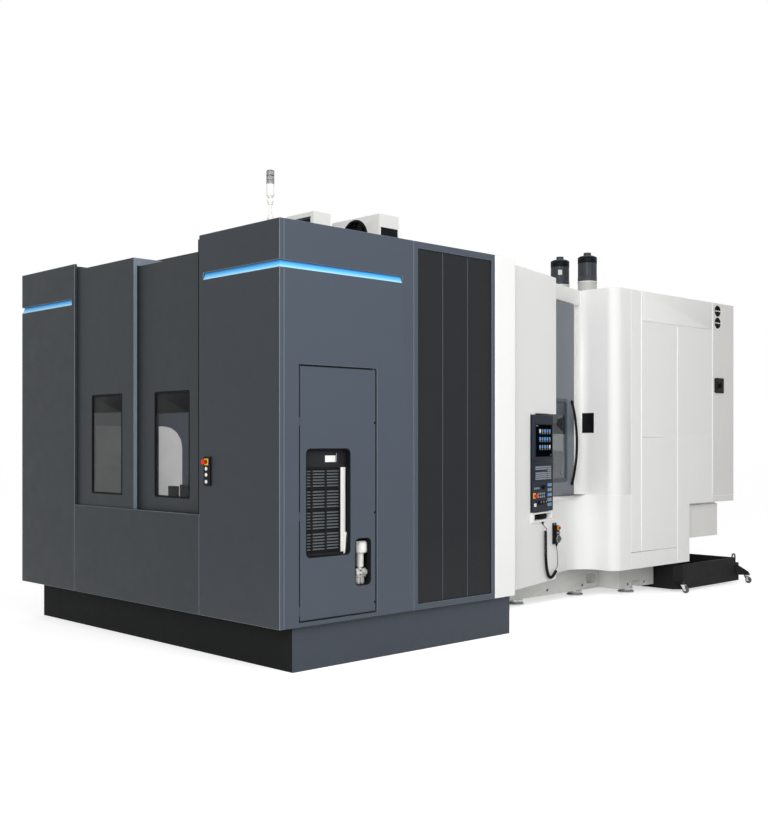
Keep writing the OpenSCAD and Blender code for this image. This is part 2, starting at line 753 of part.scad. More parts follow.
// Plan of the roof between the covers that carry it.
module roof_plan() {
    lintel_back = lintel_n[1] + run_gap;
    jamb_back = jamb_n[1] + run_gap;
    difference() {
        translate([-inner_x, roof_y]) square([2 * inner_x, module_end - cover_t - roof_y]);
        translate([tower_x, 0]) square([cover_t, jamb_d]);
    }
    translate([tower_x + cover_t, cover_t]) square([inner_x - tower_x - cover_t, roof_y]);
    polygon([[rear_left_x + cover_t, module_end - cover_t], wall_root - [0, cover_t], wall_root,
             wall_pt(lintel_s - run_gap, cover_t), wall_pt(lintel_s - run_gap, lintel_back),
             wall_pt(op_reach, lintel_back), wall_pt(op_reach, jamb_back),
             wall_pt(wall_s(rear_y + cover_t, jamb_back), jamb_back),
             [rear_x - corner_r, rear_y + cover_t], [rear_inner, rear_y + corner_r],
             [rear_inner, cabinet_y], [rear_left_x + cover_t, cabinet_y]]);
}

module roof_panels() color(dark) placed() translate([0, 0, roof_z - roof_t]) {
    difference() {
        linear_extrude(roof_t) roof_plan();
        // Opening over the column's travel
        block([roof_rim - rear_inner, rear_inner - roof_rim], [col_y - 100, col_y + col_d + 100],
              [-1, roof_t + 1]);
    }
    // Thinner cover over the pocket of the open doors
    block([-inner_x, column_x], [skin_t, roof_y + 1], [roof_t - pocket_t, roof_t]);
}

large_x = [tower_x + large_cooler[0], tower_x + large_cooler[0] + large_cooler[2]];
fan_y = large_cooler[1];
fan_centre = [large_x[0] + 303, fan_y, roof_z + 230];
slot_pitch = 28;

// Two cooling units on the roof, the large one with a fan in its front.
module roof_coolers() color(white) placed() {
    translate([tower_x + small_cooler[0], small_cooler[1], roof_z]) difference() {
        cube([small_cooler[2], small_cooler[3], small_cooler[4]]);
        translate([40, -12, 60]) cube([small_cooler[2] - 80, small_cooler[3] - 28, small_cooler[4] - 100]);
    }
    difference() {
        block(large_x, [fan_y, fan_y + large_cooler[3]], [roof_z, roof_z + cooler_h]);
        pin_y(fan_centre[0], fan_y - 10, fan_y + 130, fan_centre[2], fan_r + 12);
        for (i = [0 : 5]) translate([large_x[1] - 17, fan_y + 30, roof_z + 40 + i * slot_pitch])
            cube([30, large_cooler[3] - 60, slot_pitch / 2]);
    }
    pin_y(fan_centre[0], fan_y + 50, fan_y + 131, fan_centre[2], 28);
    pin_y(fan_centre[0], fan_y + 20, fan_y + 51, fan_centre[2], 12);
}

module cooler_fan() color(black) placed() translate(fan_centre) rotate([90, 0, 0]) difference() {
    union() {
        translate([0, 0, -45]) cylinder(r = 45, h = 35);
        for (i = [0 : 4]) rotate(i * 72)
            translate([40, -22, -38]) rotate([28, 0, 0]) cube([fan_r - 42, 44, 5]);
    }
    translate([0, 0, -60]) cylinder(r = 12 + shaft_gap, h = 80);
}

lamp_at = [half_w - 320, 170];

module stack_light() color("#dcdcd8") placed() translate([lamp_at[0], lamp_at[1], 0]) {
    translate([0, 0, roof_z]) cylinder(r = 42, h = 14);
    translate([0, 0, roof_z]) cylinder(r = 11, h = lamp_top - roof_z - 190);
    for (z = [roof_z + 60, lamp_top - 250]) translate([0, 0, z]) cylinder(r = 18, h = 40);
    translate([0, 0, lamp_top - 205]) cylinder(r1 = 14, r2 = lamp_r, h = 20);
    translate([0, 0, lamp_top - 185]) cylinder(r = lamp_r, h = 72);
    translate([0, 0, lamp_top - 113]) cylinder(r = lamp_r - 2, h = 8);
    for (i = [0 : 2]) translate([0, 0, lamp_top - 107 + i * 33]) cylinder(r = lamp_r, h = 31);
    translate([0, 0, lamp_top - 110]) cylinder(r = lamp_r - 3, h = 105);
    translate([0, 0, lamp_top - 8]) cylinder(r1 = lamp_r, r2 = lamp_r - 8, h = 8);
}

cooler_x = [inner_x - 420, inner_x - 20];
cooler_y = [150, grille_win[0] + grille_win[2] + 24];
cooler_z = [grille_win[1] - 30, grille_win[1] + grille_win[3] + 40];
louvre_y = 168;
louvre_w = 118;
louvre_pitch_y = 132;
louvre_z = 887;
louvre_h = 120;
louvre_pitch_z = 145;
louvre_d = 26;
slat_count = 7;
slat_pitch = louvre_h / slat_count;

// Slanted slats that fill one field of the grille, sunk a little in its frame.
module louvre_slats(y, z) for (i = [0 : slat_count - 1])
    translate([cooler_x[1] - 6, y + louvre_w + 1, z + i * slat_pitch]) rotate([90, 0, 0])
        linear_extrude(louvre_w + 2)
            polygon([[0, 1], [0, 4], [3 - louvre_d, slat_pitch - 3], [-louvre_d, slat_pitch - 3]]);

// Oil cooler on its stand, its face a grille of three columns and four rows of slats.
module oil_cooler() color(black) placed() {
    difference() {
        block(cooler_x, cooler_y, cooler_z);
        for (row = [0 : 3], col = [0 : 2])
            translate([0, louvre_y + col * louvre_pitch_y, louvre_z + row * louvre_pitch_z])
                block([cooler_x[1] - louvre_d - 4, cooler_x[1] + 1], [0, louvre_w], [0, louvre_h]);
    }
    for (row = [0 : 3], col = [0 : 2])
        louvre_slats(louvre_y + col * louvre_pitch_y, louvre_z + row * louvre_pitch_z);
    for (y = [cooler_y[0] + 20, cooler_y[1] - 80])
        block([cooler_x[0] + 20, cooler_x[1] - 30], [y, y + 60], [enclosure_bottom + pan_t, cooler_z[0]]);
}

air_mid = air_win[0] + air_win[2] / 2;

air_x = inner_x - 130;
riser_y = [grille_win[0] + 326, grille_win[0] + 374];
riser_z = [grille_win[1] + 55, grille_win[1] + 640];

// Air dryer with its drum, neck and valve block on a plate, and the riser beside the grille.
module air_service_unit() color("#e6e6e3") placed() {
    block([air_x, air_x + 12], [cooler_y[1], air_win[0] + air_win[2] + 30],
          [air_win[1] - 60, air_win[1] + air_win[3] + 60]);
    translate([air_x + 66, air_mid - 6, air_win[1]]) rotate_extrude()
        polygon([[0, 96], [15, 96], [15, 104], [23, 110], [23, 232], [30, 238], [30, 246], [52, 256],
                 [55, 268], [55, 360], [48, 372], [0, 376]]);
    block([air_x + 11, air_x + 60], [air_mid - 26, air_mid + 14], [air_win[1] + 262, air_win[1] + 350]);
    // Valve block with two round fittings and their elbows
    block([air_x + 11, air_x + 84], [air_mid - 58, air_mid + 46], [air_win[1] + 24, air_win[1] + 97]);
    for (y = [air_mid - 38, air_mid + 22])
        translate([air_x + 83, y, air_win[1] + 66]) rotate([0, 90, 0]) cylinder(r = 17, h = 26);
    for (y = [air_mid - 34, air_mid - 2, air_mid + 30])
        translate([air_x + 60, y, air_win[1] + 2]) cylinder(r = 11, h = 23);
    // Riser in front of the grille
    block([cooler_x[1], cooler_x[1] + 14], riser_y, riser_z);
}

access_x = [inner_x, half_w - access_inset];

module access_door() color(dark) placed() difference() {
    union() {
        block(access_x, [access_y + 1, access_y + access_w],
              [enclosure_bottom + pan_t + access_gap, access_top]);
        for (z = latch_z) translate([access_x[1], access_y + access_w - 20, z]) rotate([0, 90, 0])
            cylinder(r = 9, h = access_inset - 2);
    }
    facing_side([access_x[0] - 1, access_x[1] + 1])
        round_rect([grille_win[0], grille_win[0] + grille_win[2]],
                   [grille_win[1], grille_win[1] + grille_win[3]], cut_r);
    facing_side([access_x[0] - 1, access_x[1] + 1])
        round_rect([air_win[0], air_win[0] + air_win[2]], [air_win[1], air_win[1] + air_win[3]], cut_r);
    for (z = latch_z) translate([access_x[1], access_y, z - 31]) cylinder(r = barrel_r + run_gap, h = 62);
}

box_x = [tower_x + setup_box[0], tower_x + setup_box[0] + setup_box[2]];
button_x = box_x[1] - 47;
stop_at = [button_x, setup_box[1] + stop_rise];

// Mushroom stop button facing the front, its seat at y.
module stop_button(x, y, z, deep) {
    pin_y(x, y - stop_h, y - stop_h + 16, z, stop_r);
    pin_y(x, y - stop_h + 16, y - 6, z, stop_r * 0.62);
    pin_y(x, y - 6, y + deep, z, 8);
}

module setup_control_box() color(black) placed() difference() {
    facing_front([-box_t, 0]) round_rect(box_x, [setup_box[1], setup_box[1] + setup_box[3]], 8);
    pin_y(stop_at[0], -box_t - 1, 1, stop_at[1], 8 + shaft_gap);
    for (rise = button_rise) pin_y(button_x, -box_t - 1, 1, setup_box[1] + rise, button_r + shaft_gap);
}

module setup_estop() color("#c8201c") placed() stop_button(stop_at[0], -box_t, stop_at[1], box_t - 7);

module setup_button(i) color("#f2f2ee") placed()
    pin_y(button_x, -box_t - 5, -5, setup_box[1] + button_rise[i], button_r);

module setup_button_top() setup_button(0);
module setup_button_middle() setup_button(1);
module setup_button_bottom() setup_button(2);

left_window_x = -left_door_right - window_margin - window_w;
right_window_x = right_door_x1 - right_window_margin - window_w;

// Sliding door leaf with a rounded window between two depths.
module leaf(x, y, z, win_x) difference() {
    block(x, y, z);
    facing_front([y[0] - 1, y[1] + 1])
        round_rect([win_x, win_x + window_w], [window_z, window_z + window_h], 6);
}

module pane(win_x, y) color("#30363a") placed() facing_front([y + pane_inset, y + pane_inset + pane_t])
    round_rect([win_x, win_x + window_w], [window_z, window_z + window_h], 6);

module setup_door_left() color(dark) placed() {
    y = [left_setback, left_setback + door_t];
    leaf([left_door_x0, -left_door_right], y, [door_z, left_door_top], left_window_x);
    block([left_door_x0, -left_door_right], [y[1], left_setback + flap_d],
          [right_door_top + flap_gap, left_door_top]);
}

module setup_window_left() pane(left_window_x, left_setback);

module setup_door_right() color(dark) placed()
    leaf([right_door_x0, right_door_x1], [right_setback, right_setback + door_t],
         [door_z, right_door_top], right_window_x);

module setup_window_right() pane(right_window_x, right_setback);

op_s = [op_reach - op_w, op_reach];
op_n = [door_plane, door_plane + door_t];
op_win_s = [op_reach - op_win_margin - op_win_w, op_reach - op_win_margin];
handle_s = op_reach - handle_margin;
handle_z = 1215;

module operator_door() color("#747a80") placed() in_wall() difference() {
    block(op_s, op_n, [apron_top + run_gap, lintel_z - op_gap]);
    facing_front([op_n[0] - 1, op_n[1] + 1]) round_rect(op_win_s, [op_win_z, op_win_top], 6);
}

module operator_window() color("#30363a") placed() in_wall()
    facing_front([op_n[0] + pane_inset, op_n[0] + pane_inset + pane_t])
        round_rect(op_win_s, [op_win_z, op_win_top], 6);

// Bow of a circle through the handle's two feet, and its feet on the door.
module operator_handle() color(black) placed() in_wall() {
    rise = handle_reach - handle_r - 8;
    bow_r = (handle_h * handle_h / 4 + rise * rise) / (2 * rise);
    sweep = 2 * asin(handle_h / 2 / bow_r);
    foot_n = op_n[0] - 8;
    difference() {
        translate([handle_s, foot_n - rise + bow_r, handle_z + handle_h / 2]) rotate([0, -90, 0])
            rotate(-90 - sweep / 2) rotate_extrude(angle = sweep) translate([bow_r, 0]) circle(handle_r);
        block([handle_s - 2 * handle_r, handle_s + 2 * handle_r], op_n,
              [handle_z - 2 * handle_r, handle_z + handle_h + 2 * handle_r]);
    }
    for (z = [handle_z, handle_z + handle_h])
        pin_y(handle_s, foot_n - handle_r, op_n[0], z, handle_r + 2);
}

tray_n = [-20, 120];
tray_s = [recess_s + 2, recess_s + console_w];

// Cable tray under the console and the brackets of its hinge.
module console_mount() color(white) placed() in_wall() {
    difference() {
        block(tray_s, tray_n, [recess_z, console_z - 6]);
        block([tray_s[0] + 50, tray_s[1] - 20], [tray_n[0] - 1, tray_n[1] - 12],
              [recess_z + 20, console_z - 20]);
    }
    translate([console_pin[0], console_pin[1], console_z - 7]) cylinder(r = console_pin_r, h = 36);
    block([console_s, console_s + 60], [-console_proud + 2, cover_t + 12],
          [console_z + console_h + 2, recess_top - 2]);
    block([console_s, console_s + 60], [cover_t, cover_t + 12], [recess_top - 3, recess_top + 70]);
    translate([console_pin[0], console_pin[1], console_z + console_h - 30])
        cylinder(r = console_pin_r, h = 34);
}

console_n = [-console_proud, console_t - console_proud];
console_mid = console_s + console_w / 2 + 20;
key_pitch = [30, 20];
console_stop = [console_s + 34, console_z + 152];
knob_at = [console_s + 235, console_z + 226];

module console_housing() color("#3b414c") placed() in_wall() difference() {
    union() {
        block([console_s, console_s + console_w], console_n, [console_z, console_z + console_h]);
        // Keys of the keyboard and of the operation panel
        for (row = [0 : 5], col = [0 : 11])
            translate([console_s + 60 + col * key_pitch[0], console_n[0] - 4,
                       console_z + 341 + row * key_pitch[1]]) cube([22, 4, 15]);
        for (row = [0 : 4], col = [0 : 1])
            translate([console_s + 340 + col * 50, console_n[0] - 4, console_z + 44 + row * 46])
                cube([36, 4, 30]);
        for (i = [0 : 2])
            pin_y(console_s + 140 + i * 60, console_n[0] - 18, console_n[0], console_z + 84, 17);
    }
    block([console_mid - screen_size[0] / 2, console_mid + screen_size[0] / 2],
          [console_n[0] - 1, console_n[0] + 8], [screen_z, screen_z + screen_size[1]]);
    for (z = [console_z + 328, console_z + 470])
        block([console_s - 1, console_s + console_w + 1], [console_n[0] - 1, console_n[0] + 3], [z, z + 5]);
    translate([console_pin[0], console_pin[1], console_z - 1])
        cylinder(r = console_pin_r + shaft_gap, h = 36);
    translate([console_pin[0], console_pin[1], console_z + console_h - 36])
        cylinder(r = console_pin_r + shaft_gap, h = 40);
    pin_y(console_stop[0], console_n[0] - 1, console_n[0] + 30, console_stop[1], 8 + shaft_gap);
    pin_y(knob_at[0], console_n[0] - 1, console_n[0] + 30, knob_at[1], 5 + shaft_gap);
}

module console_screen() color("#101418") placed() in_wall()
    block([console_mid - screen_size[0] / 2, console_mid + screen_size[0] / 2],
          [console_n[0] + 1, console_n[0] + 8], [screen_z, screen_z + screen_size[1]]);

module console_estop() color("#c8201c") placed() in_wall()
    stop_button(console_stop[0], console_n[0], console_stop[1], 20);

module console_knob() color(black) placed() in_wall() {
    pin_y(knob_at[0], console_n[0] - 22, console_n[0] - shaft_gap, knob_at[1], 18);
    pin_y(knob_at[0], console_n[0] - 1, console_n[0] + 24, knob_at[1], 5);
    block([knob_at[0] - 3, knob_at[0] + 3], [console_n[0] - 28, console_n[0] - 21],
          [knob_at[1] - 4, knob_at[1] + 17]);
}

pendant_s = 1165;
pendant_half = 42;
pendant_n = [-44, -10];
pendant_z = [recess_z - 222, recess_z - 52];
holder_z = [pendant_z[0] - 10, pendant_z[1] + 22];
dial_z = pendant_z[0] + 42;
pendant_stop_z = pendant_z[1] - 24;
relief_h = 28;

// Hand pendant on its holder plate, which has a hanging slot, with the cord's relief below.
module pendant_body() color(black) placed() in_wall() difference() {
    union() {
        facing_front([pendant_n[1], 0])
            round_rect([pendant_s - pendant_half, pendant_s + pendant_half], holder_z, 10);
        facing_front(pendant_n)
            round_rect([pendant_s - pendant_half + 4, pendant_s + pendant_half - 4], pendant_z, 14);
        translate([pendant_s, (pendant_n[0] + pendant_n[1]) / 2, pendant_z[0] - relief_h])
            cylinder(r1 = 7, r2 = 15, h = relief_h + 1);
    }
    facing_front([pendant_n[1] - 1, 1])
        round_rect([pendant_s - 20, pendant_s + 20], [pendant_z[1] + 4, holder_z[1] - 5], 5);
    pin_y(pendant_s, pendant_n[0] - 1, pendant_n[0] + 33, pendant_stop_z, 6 + shaft_gap);
    pin_y(pendant_s, pendant_n[0] - 1, pendant_n[0] + 33, dial_z, 5 + shaft_gap);
}

module pendant_estop() color("#c8201c") placed() in_wall() {
    pin_y(pendant_s, pendant_n[0] - 24, pendant_n[0] - 10, pendant_stop_z, 15);
    pin_y(pendant_s, pendant_n[0] - 11, pendant_n[0] + 26, pendant_stop_z, 6);
}

module pendant_dial() color(steel) placed() in_wall() {
    pin_y(pendant_s, pendant_n[0] - 18, pendant_n[0] - shaft_gap, dial_z, 29);
    pin_y(pendant_s, pendant_n[0] - 2, pendant_n[0] + 28, dial_z, 5);
    pin_y(pendant_s + 16, pendant_n[0] - 28, pendant_n[0] - 17, dial_z, 6);
}

// Route of the pendant's cord along the wall: s, n, height from the recess and radius at each point.
cord_route = [
    [874, -11, 0, 4], [876, -12, -15, 4], [881, -15, -32, 4], [889, -20, -50, 4], [897, -24, -64, 4],
    [900, -25, -70, 5], [902, -26, -80, 15], [903, -26, -140, 15], [904, -26, -200, 15],
    [906, -26, -260, 15], [908, -26, -320, 15], [914, -26, -375, 15], [924, -26, -420, 15],
    [940, -26, -462, 15], [964, -26, -500, 15], [996, -26, -526, 15], [1032, -26, -534, 15],
    [1068, -26, -529, 15], [1104, -26, -514, 15], [1138, -26, -494, 15], [1166, -26, -476, 15],
    [1173, -26, -470, 5], [1186, -27, -456, 4], [1194, -27, -430, 4], [1195, -27, -400, 4],
    [1192, -27, -360, 4], [1183, -27, -310, 4], [1173, -27, -276, 4], [1165, -27, -250, 4]];
cord_sides = 8;

function unit(v) = v / norm(v);
function cord_at(i) = let (p = cord_route[i], q = wall_pt(p[0], p[1])) [q[0], q[1], recess_z + p[2]];
function cord_dir(i) = let (n = len(cord_route) - 1)
    unit(cord_at(min(i + 1, n)) - cord_at(max(i - 1, 0)));
// Ring of points round the route, square to it.
function cord_ring(i) = let (d = cord_dir(i), side = [-cos(wall_angle), -sin(wall_angle), 0],
                             b = unit(cross(d, side)), a = cross(b, d), r = cord_route[i][3])
    [for (k = [0 : cord_sides - 1]) cord_at(i) + r * (cos(k * 360 / cord_sides) * a
                                                      + sin(k * 360 / cord_sides) * b)];

module pendant_cord() color(black) placed() {
    rings = len(cord_route);
    last = (rings - 1) * cord_sides;
    polyhedron(points = [for (i = [0 : rings - 1]) each cord_ring(i)],
               faces = [[for (k = [0 : cord_sides - 1]) k],
                        [for (k = [0 : cord_sides - 1]) last + cord_sides - 1 - k],
                        for (i = [0 : rings - 2], k = [0 : cord_sides - 1])
                            let (n = (k + 1) % cord_sides, o = i * cord_sides)
                            [o + k, o + cord_sides + k, o + cord_sides + n, o + n]]);
}

swivel_z = wheel_d + 20;
roller_r = (tank_z + tank_t / 2) / 2;
stem_r = 12;
block_l = 90;
block_top = tank_top - 64;
arm_root = [tank_side - 30, tank_end + 40];
arm = rear_caster - arm_root;
arm_l = norm(arm) + 30;
arm_w = 64;
ring_half = 40;
ring_rise = 104;
ring_bar = 14;

// Coolant tank, open above, with a caster at its cut corner, one on an arm and a ring to pull by.
module coolant_tank() color("#222426") placed() difference() {
    union() {
        difference() {
            linear_extrude(tank_top) tank_plan(0);
            translate([0, 0, -1]) linear_extrude(tank_z + 1) tank_plan(-1);
            translate([0, 0, tank_z + tank_t]) linear_extrude(tank_top) tank_plan(tank_t);
        }
        for (c = [front_caster, rear_caster])
            translate([c[0], c[1], swivel_z]) cylinder(r = bracket_r, h = 14);
        translate([0, 0, swivel_z]) linear_extrude(14)
            polygon([[tank_side - tank_cut + 4, tank_y + 14], front_caster - [31, 31],
                     front_caster + [31, 31], [tank_side - 14, tank_y + tank_cut - 4]]);
        // Block behind the tank and the sloping arm on it
        block([tank_side - 70, tank_side], [tank_end - 1, tank_end + block_l], [tank_z, block_top]);
        translate([arm_root[0], arm_root[1], 0]) rotate(atan2(arm[1], arm[0]))
            facing_front([-arm_w / 2, arm_w / 2])
                polygon([[0, swivel_z], [arm_l, swivel_z], [arm_l, swivel_z + 34], [0, block_top - 4]]);
        // Fixed rollers on the inner side
        for (y = [tank_y + 180, tank_end - 180])
            pin_y(tank_x + 90, y - 14, y + 14, roller_r, roller_r);
        // Upright ring on the block
        translate([tank_side - 50, tank_end + block_l / 2, block_top])
            facing_side([0, ring_bar]) difference() {
                round_rect([-ring_half, ring_half], [-60, ring_rise], ring_half);
                round_rect([ring_bar - ring_half, ring_half - ring_bar], [-59, ring_rise - ring_bar],
                           ring_half - ring_bar);
                translate([-ring_half, -61]) square([2 * ring_half, 51]);
            }
    }
    for (c = [front_caster, rear_caster])
        translate([c[0], c[1], swivel_z - 1]) cylinder(r = stem_r + shaft_gap, h = 20);
}

// Plan of the tank with a cut front corner, drawn in by t.
module tank_plan(t) {
    polygon([[tank_x + t, tank_y + t], [tank_side - tank_cut - t * 0.4, tank_y + t],
             [tank_side - t, tank_y + tank_cut + t * 0.4], [tank_side - t, tank_end - t],
             [tank_x + t, tank_end - t]]);
}

// Swivelling fork of a caster, its stem in the bracket.
module caster_fork(c) color(steel) placed() translate([c[0], c[1], 0]) {
    translate([0, 0, swivel_z - 6]) cylinder(r = stem_r, h = 22);
    translate([0, 0, swivel_z - 8]) cylinder(r = 26, h = 8 - shaft_gap);
    for (side = [-1, 1]) translate([0, side * (wheel_w / 2 + 4.5) + 2.5, 0]) rotate([90, 0, 0])
        linear_extrude(5) polygon([[-22, swivel_z - 7], [22, swivel_z - 7],
                                   [trail + 12, wheel_d / 2 - 12], [trail - 12, wheel_d / 2 - 12]]);
    translate([trail, 0, 0]) pin_y(0, -wheel_w / 2 - 8, wheel_w / 2 + 8, wheel_d / 2, 6);
}

module caster_wheel(c) color("#3a3c3e") placed() translate([c[0] + trail, c[1], wheel_d / 2])
    rotate([90, 0, 0]) translate([0, 0, -wheel_w / 2]) rotate_extrude() {
        translate([6 + shaft_gap, 0]) square([8, wheel_w]);
        translate([13, 5]) square([wheel_d / 2 - 22, wheel_w - 10]);
        translate([wheel_d / 2 - 12, 2]) square([10, wheel_w - 4]);
        translate([wheel_d / 2 - 4, 5]) square([4, wheel_w - 10]);
    }

module caster_fork_front() caster_fork(front_caster);
module caster_wheel_front() caster_wheel(front_caster);
module caster_fork_rear() caster_fork(rear_caster);
module caster_wheel_rear() caster_wheel(rear_caster);

motor_y = col_y + screw_d;
rail_y = col_y - 40;

// Portal column: a base on the rails, two legs and a crossbeam that carries the drives.
module column() color("#dfe0dd") placed() difference() {
    union() {
        block([-col_half, col_half], [col_y - 60, col_y + col_d + 60], [rail_top + run_gap, col_base]);
        for (side = [-1, 1]) {
            x = side > 0 ? [col_half - leg_w, col_half] : [-col_half, leg_w - col_half];
            block(x, [col_y, col_y + col_d], [col_base, beam_z]);
            block([side * (col_half - leg_w / 2) - 30, side * (col_half - leg_w / 2) + 30],
                  [rail_y, col_y], [col_base + 40, beam_z - 20]);
            translate([side * screw_x, motor_y, col_top]) cylinder(r = motor_w / 2, h = motor_z - col_top);
        }
        block([-col_half, col_half], [col_y, col_y + col_d], [beam_z, col_top]);
    }
    for (side = [-1, 1])
        translate([side * screw_x, motor_y, beam_z - 1])
            cylinder(r = screw_r + 6, h = motor_z - beam_z + 2);
}

// Twin servo motors with their feed screws.
module y_axis_drives() color(black) placed() for (side = [-1, 1])
    translate([side * screw_x, motor_y, 0]) {
        translate([0, 0, col_base]) cylinder(r = screw_r, h = motor_z - col_base);
        difference() {
            translate([0, 0, motor_z]) cylinder(r = motor_w / 2, h = motor_h);
            for (i = [0 : 15]) rotate(i * 22.5)
                translate([motor_w / 2 - 9, -7, motor_z + 20]) cube([20, 14, motor_h - 90]);
        }
        translate([0, 0, motor_z + motor_h]) cylinder(r1 = motor_w / 2, r2 = motor_w / 2 - 30, h = 16);
        translate([0, 0, motor_z + motor_h + 16]) cylinder(r = 44, h = encoder_h - 16);
    }

head_y = nose_y + 150;

// Spindle head: carriage on the column's rails, snout and the nuts of the feed screws.
module spindle_head() color("#dfe0dd") placed() difference() {
    union() {
        block([-col_half + 20, col_half - 20], [rail_y - 140, rail_y - run_gap],
              [spindle_z - 260, spindle_z + 260]);
        block([-200, 200], [head_y, rail_y - 140], [spindle_z - 210, spindle_z + 210]);
        block([-screw_x - 60, screw_x + 60], [rail_y - run_gap, motor_y + 90],
              [spindle_z - 110, spindle_z + 110]);
    }
    pin_y(0, head_y - 1, head_y + 330, spindle_z, spindle_r + shaft_gap);
    for (side = [-1, 1]) translate([side * screw_x, motor_y, spindle_z - 111])
        cylinder(r = screw_r + shaft_gap, h = 222);
}

module spindle() color(steel) placed() difference() {
    union() {
        pin_y(0, nose_y + 40, head_y + 300, spindle_z, spindle_r);
        pin_y(0, nose_y, nose_y + 41, spindle_z, spindle_r - 30);
    }
    translate([0, nose_y - 1, spindle_z]) rotate([-90, 0, 0]) cylinder(r1 = 35, r2 = 20, h = 104);
}

module rotary_table() color("#dfe0dd") placed() difference() {
    union() {
        block([-saddle_half, saddle_half], [table_y - saddle_half, table_y + saddle_half],
              [rail_top + run_gap, saddle_top - 60]);
        translate([0, table_y, saddle_top - 60]) cylinder(r = boss_r + 60, h = 60);
    }
    translate([0, table_y, saddle_top - 40]) cylinder(r = boss_r - 60 + shaft_gap, h = 60);
}

// Square pallet with chamfered corners and tapped holes.
module pallet(y, z) translate([0, y, z]) difference() {
    c = 60;
    h = pallet_w / 2;
    linear_extrude(pallet_t) polygon([[-h + c, -h], [h - c, -h], [h, c - h], [h, h - c], [h - c, h],
                                      [c - h, h], [-h, h - c], [-h, c - h]]);
    for (x = [-300, -100, 100, 300], y = [-300, -100, 100, 300])
        translate([x, y, pallet_t - 40]) cylinder(r = 9, h = 50);
}

module work_pallet() color(steel) placed() {
    pallet(table_y, pallet_z);
    translate([0, table_y, saddle_top + shaft_gap]) cylinder(r = boss_r, h = pallet_z - saddle_top);
    translate([0, table_y, saddle_top - 36]) cylinder(r = boss_r - 60, h = 40);
}

collar_top = base_top + 30;
hub_r = 200;

module changer_lift() color(steel) placed() translate([0, changer_y, 0]) {
    translate([0, 0, nose_top - 56]) cylinder(r = lift_r, h = base_top - nose_top + 57);
    translate([0, 0, base_top + run_gap]) cylinder(r = hub_r, h = collar_top - base_top - run_gap);
    translate([0, 0, collar_top - 1]) cylinder(r = lift_r - 20, h = fork_top - collar_top - 10);
}

mast_r = 60;
bow_back = 260;
bow_r = partition_half / 2 + 30;
partition_t = 30;

// Plan of the partition's right half, one bow from the mast to its outer end.
module half_partition() intersection() {
    translate([partition_half / 2, -bow_back]) difference() {
        circle(r = bow_r + partition_t, $fn = 240);
        circle(r = bow_r, $fn = 240);
    }
    square(2 * partition_half);
}

// Double fork with a bowed partition between its two pallets.
module pallet_changer() color("#e4e5e2") placed() translate([0, changer_y, 0]) difference() {
    union() {
        translate([0, 0, collar_top + run_gap]) cylinder(r = hub_r, h = fork_top - collar_top - run_gap);
        for (side = [-1, 1])
            block([side > 0 ? fork_half : -fork_half - fork_w, side > 0 ? fork_half + fork_w : -fork_half],
                  [-pallet_arm - 350, pallet_arm + 350], [fork_top - 60, fork_top]);
        block([-fork_half - 1, fork_half + 1], [-110, 110], [fork_top - 90, fork_top]);
        translate([0, 0, fork_top]) linear_extrude(partition_top - fork_top) {
            circle(mast_r);
            for (turn = [0, 180]) rotate(turn) half_partition();
        }
    }
    translate([0, 0, collar_top - 1]) cylinder(r = lift_r - 20 + shaft_gap, h = fork_top - collar_top - 8);
}

module setup_pallet() color(steel) placed() pallet(changer_y - pallet_arm, fork_top);

front_plinth();
bed_casting();
column_front_cover();
left_side_cover();
tower_front_cover();
tower_side_cover();
front_skirt();
side_panels();
light_bars();
corner_post();
console_wall();
door_frame();
curved_apron();
rear_side_cover();
rear_left_cover();
control_cabinet();
hydraulic_unit();
roof_panels();
roof_coolers();
cooler_fan();
stack_light();
oil_cooler();
air_service_unit();
access_door();
setup_control_box();
setup_estop();
setup_button_top();
setup_button_middle();
setup_button_bottom();
setup_door_left();
setup_window_left();
setup_door_right();
setup_window_right();
operator_door();
operator_window();
operator_handle();
console_mount();
console_housing();
console_screen();
console_estop();
console_knob();
pendant_cord();
pendant_body();
pendant_dial();
pendant_estop();
main_switch_knob();
coolant_tank();
caster_fork_front();
caster_wheel_front();
caster_fork_rear();
caster_wheel_rear();
column();
y_axis_drives();
spindle_head();
spindle();
rotary_table();
work_pallet();
changer_lift();
pallet_changer();
setup_pallet();
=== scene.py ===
# %% [markdown]
# A horizontal machining centre is dressed here, on a frame that was packed from solids. The frame
# brings every cover, door and axis at its true size, and this lesson adds what solids are too plain to
# show: broken edges, paint, glass, gaskets, lamps, keys and the curly cord. Everything is in metres.
# Depths are written from the front face, because drawings of such machines are, and Y_MID is taken off
# them to get to the frame's own origin in the middle of the floor plan.

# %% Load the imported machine
import json
import math

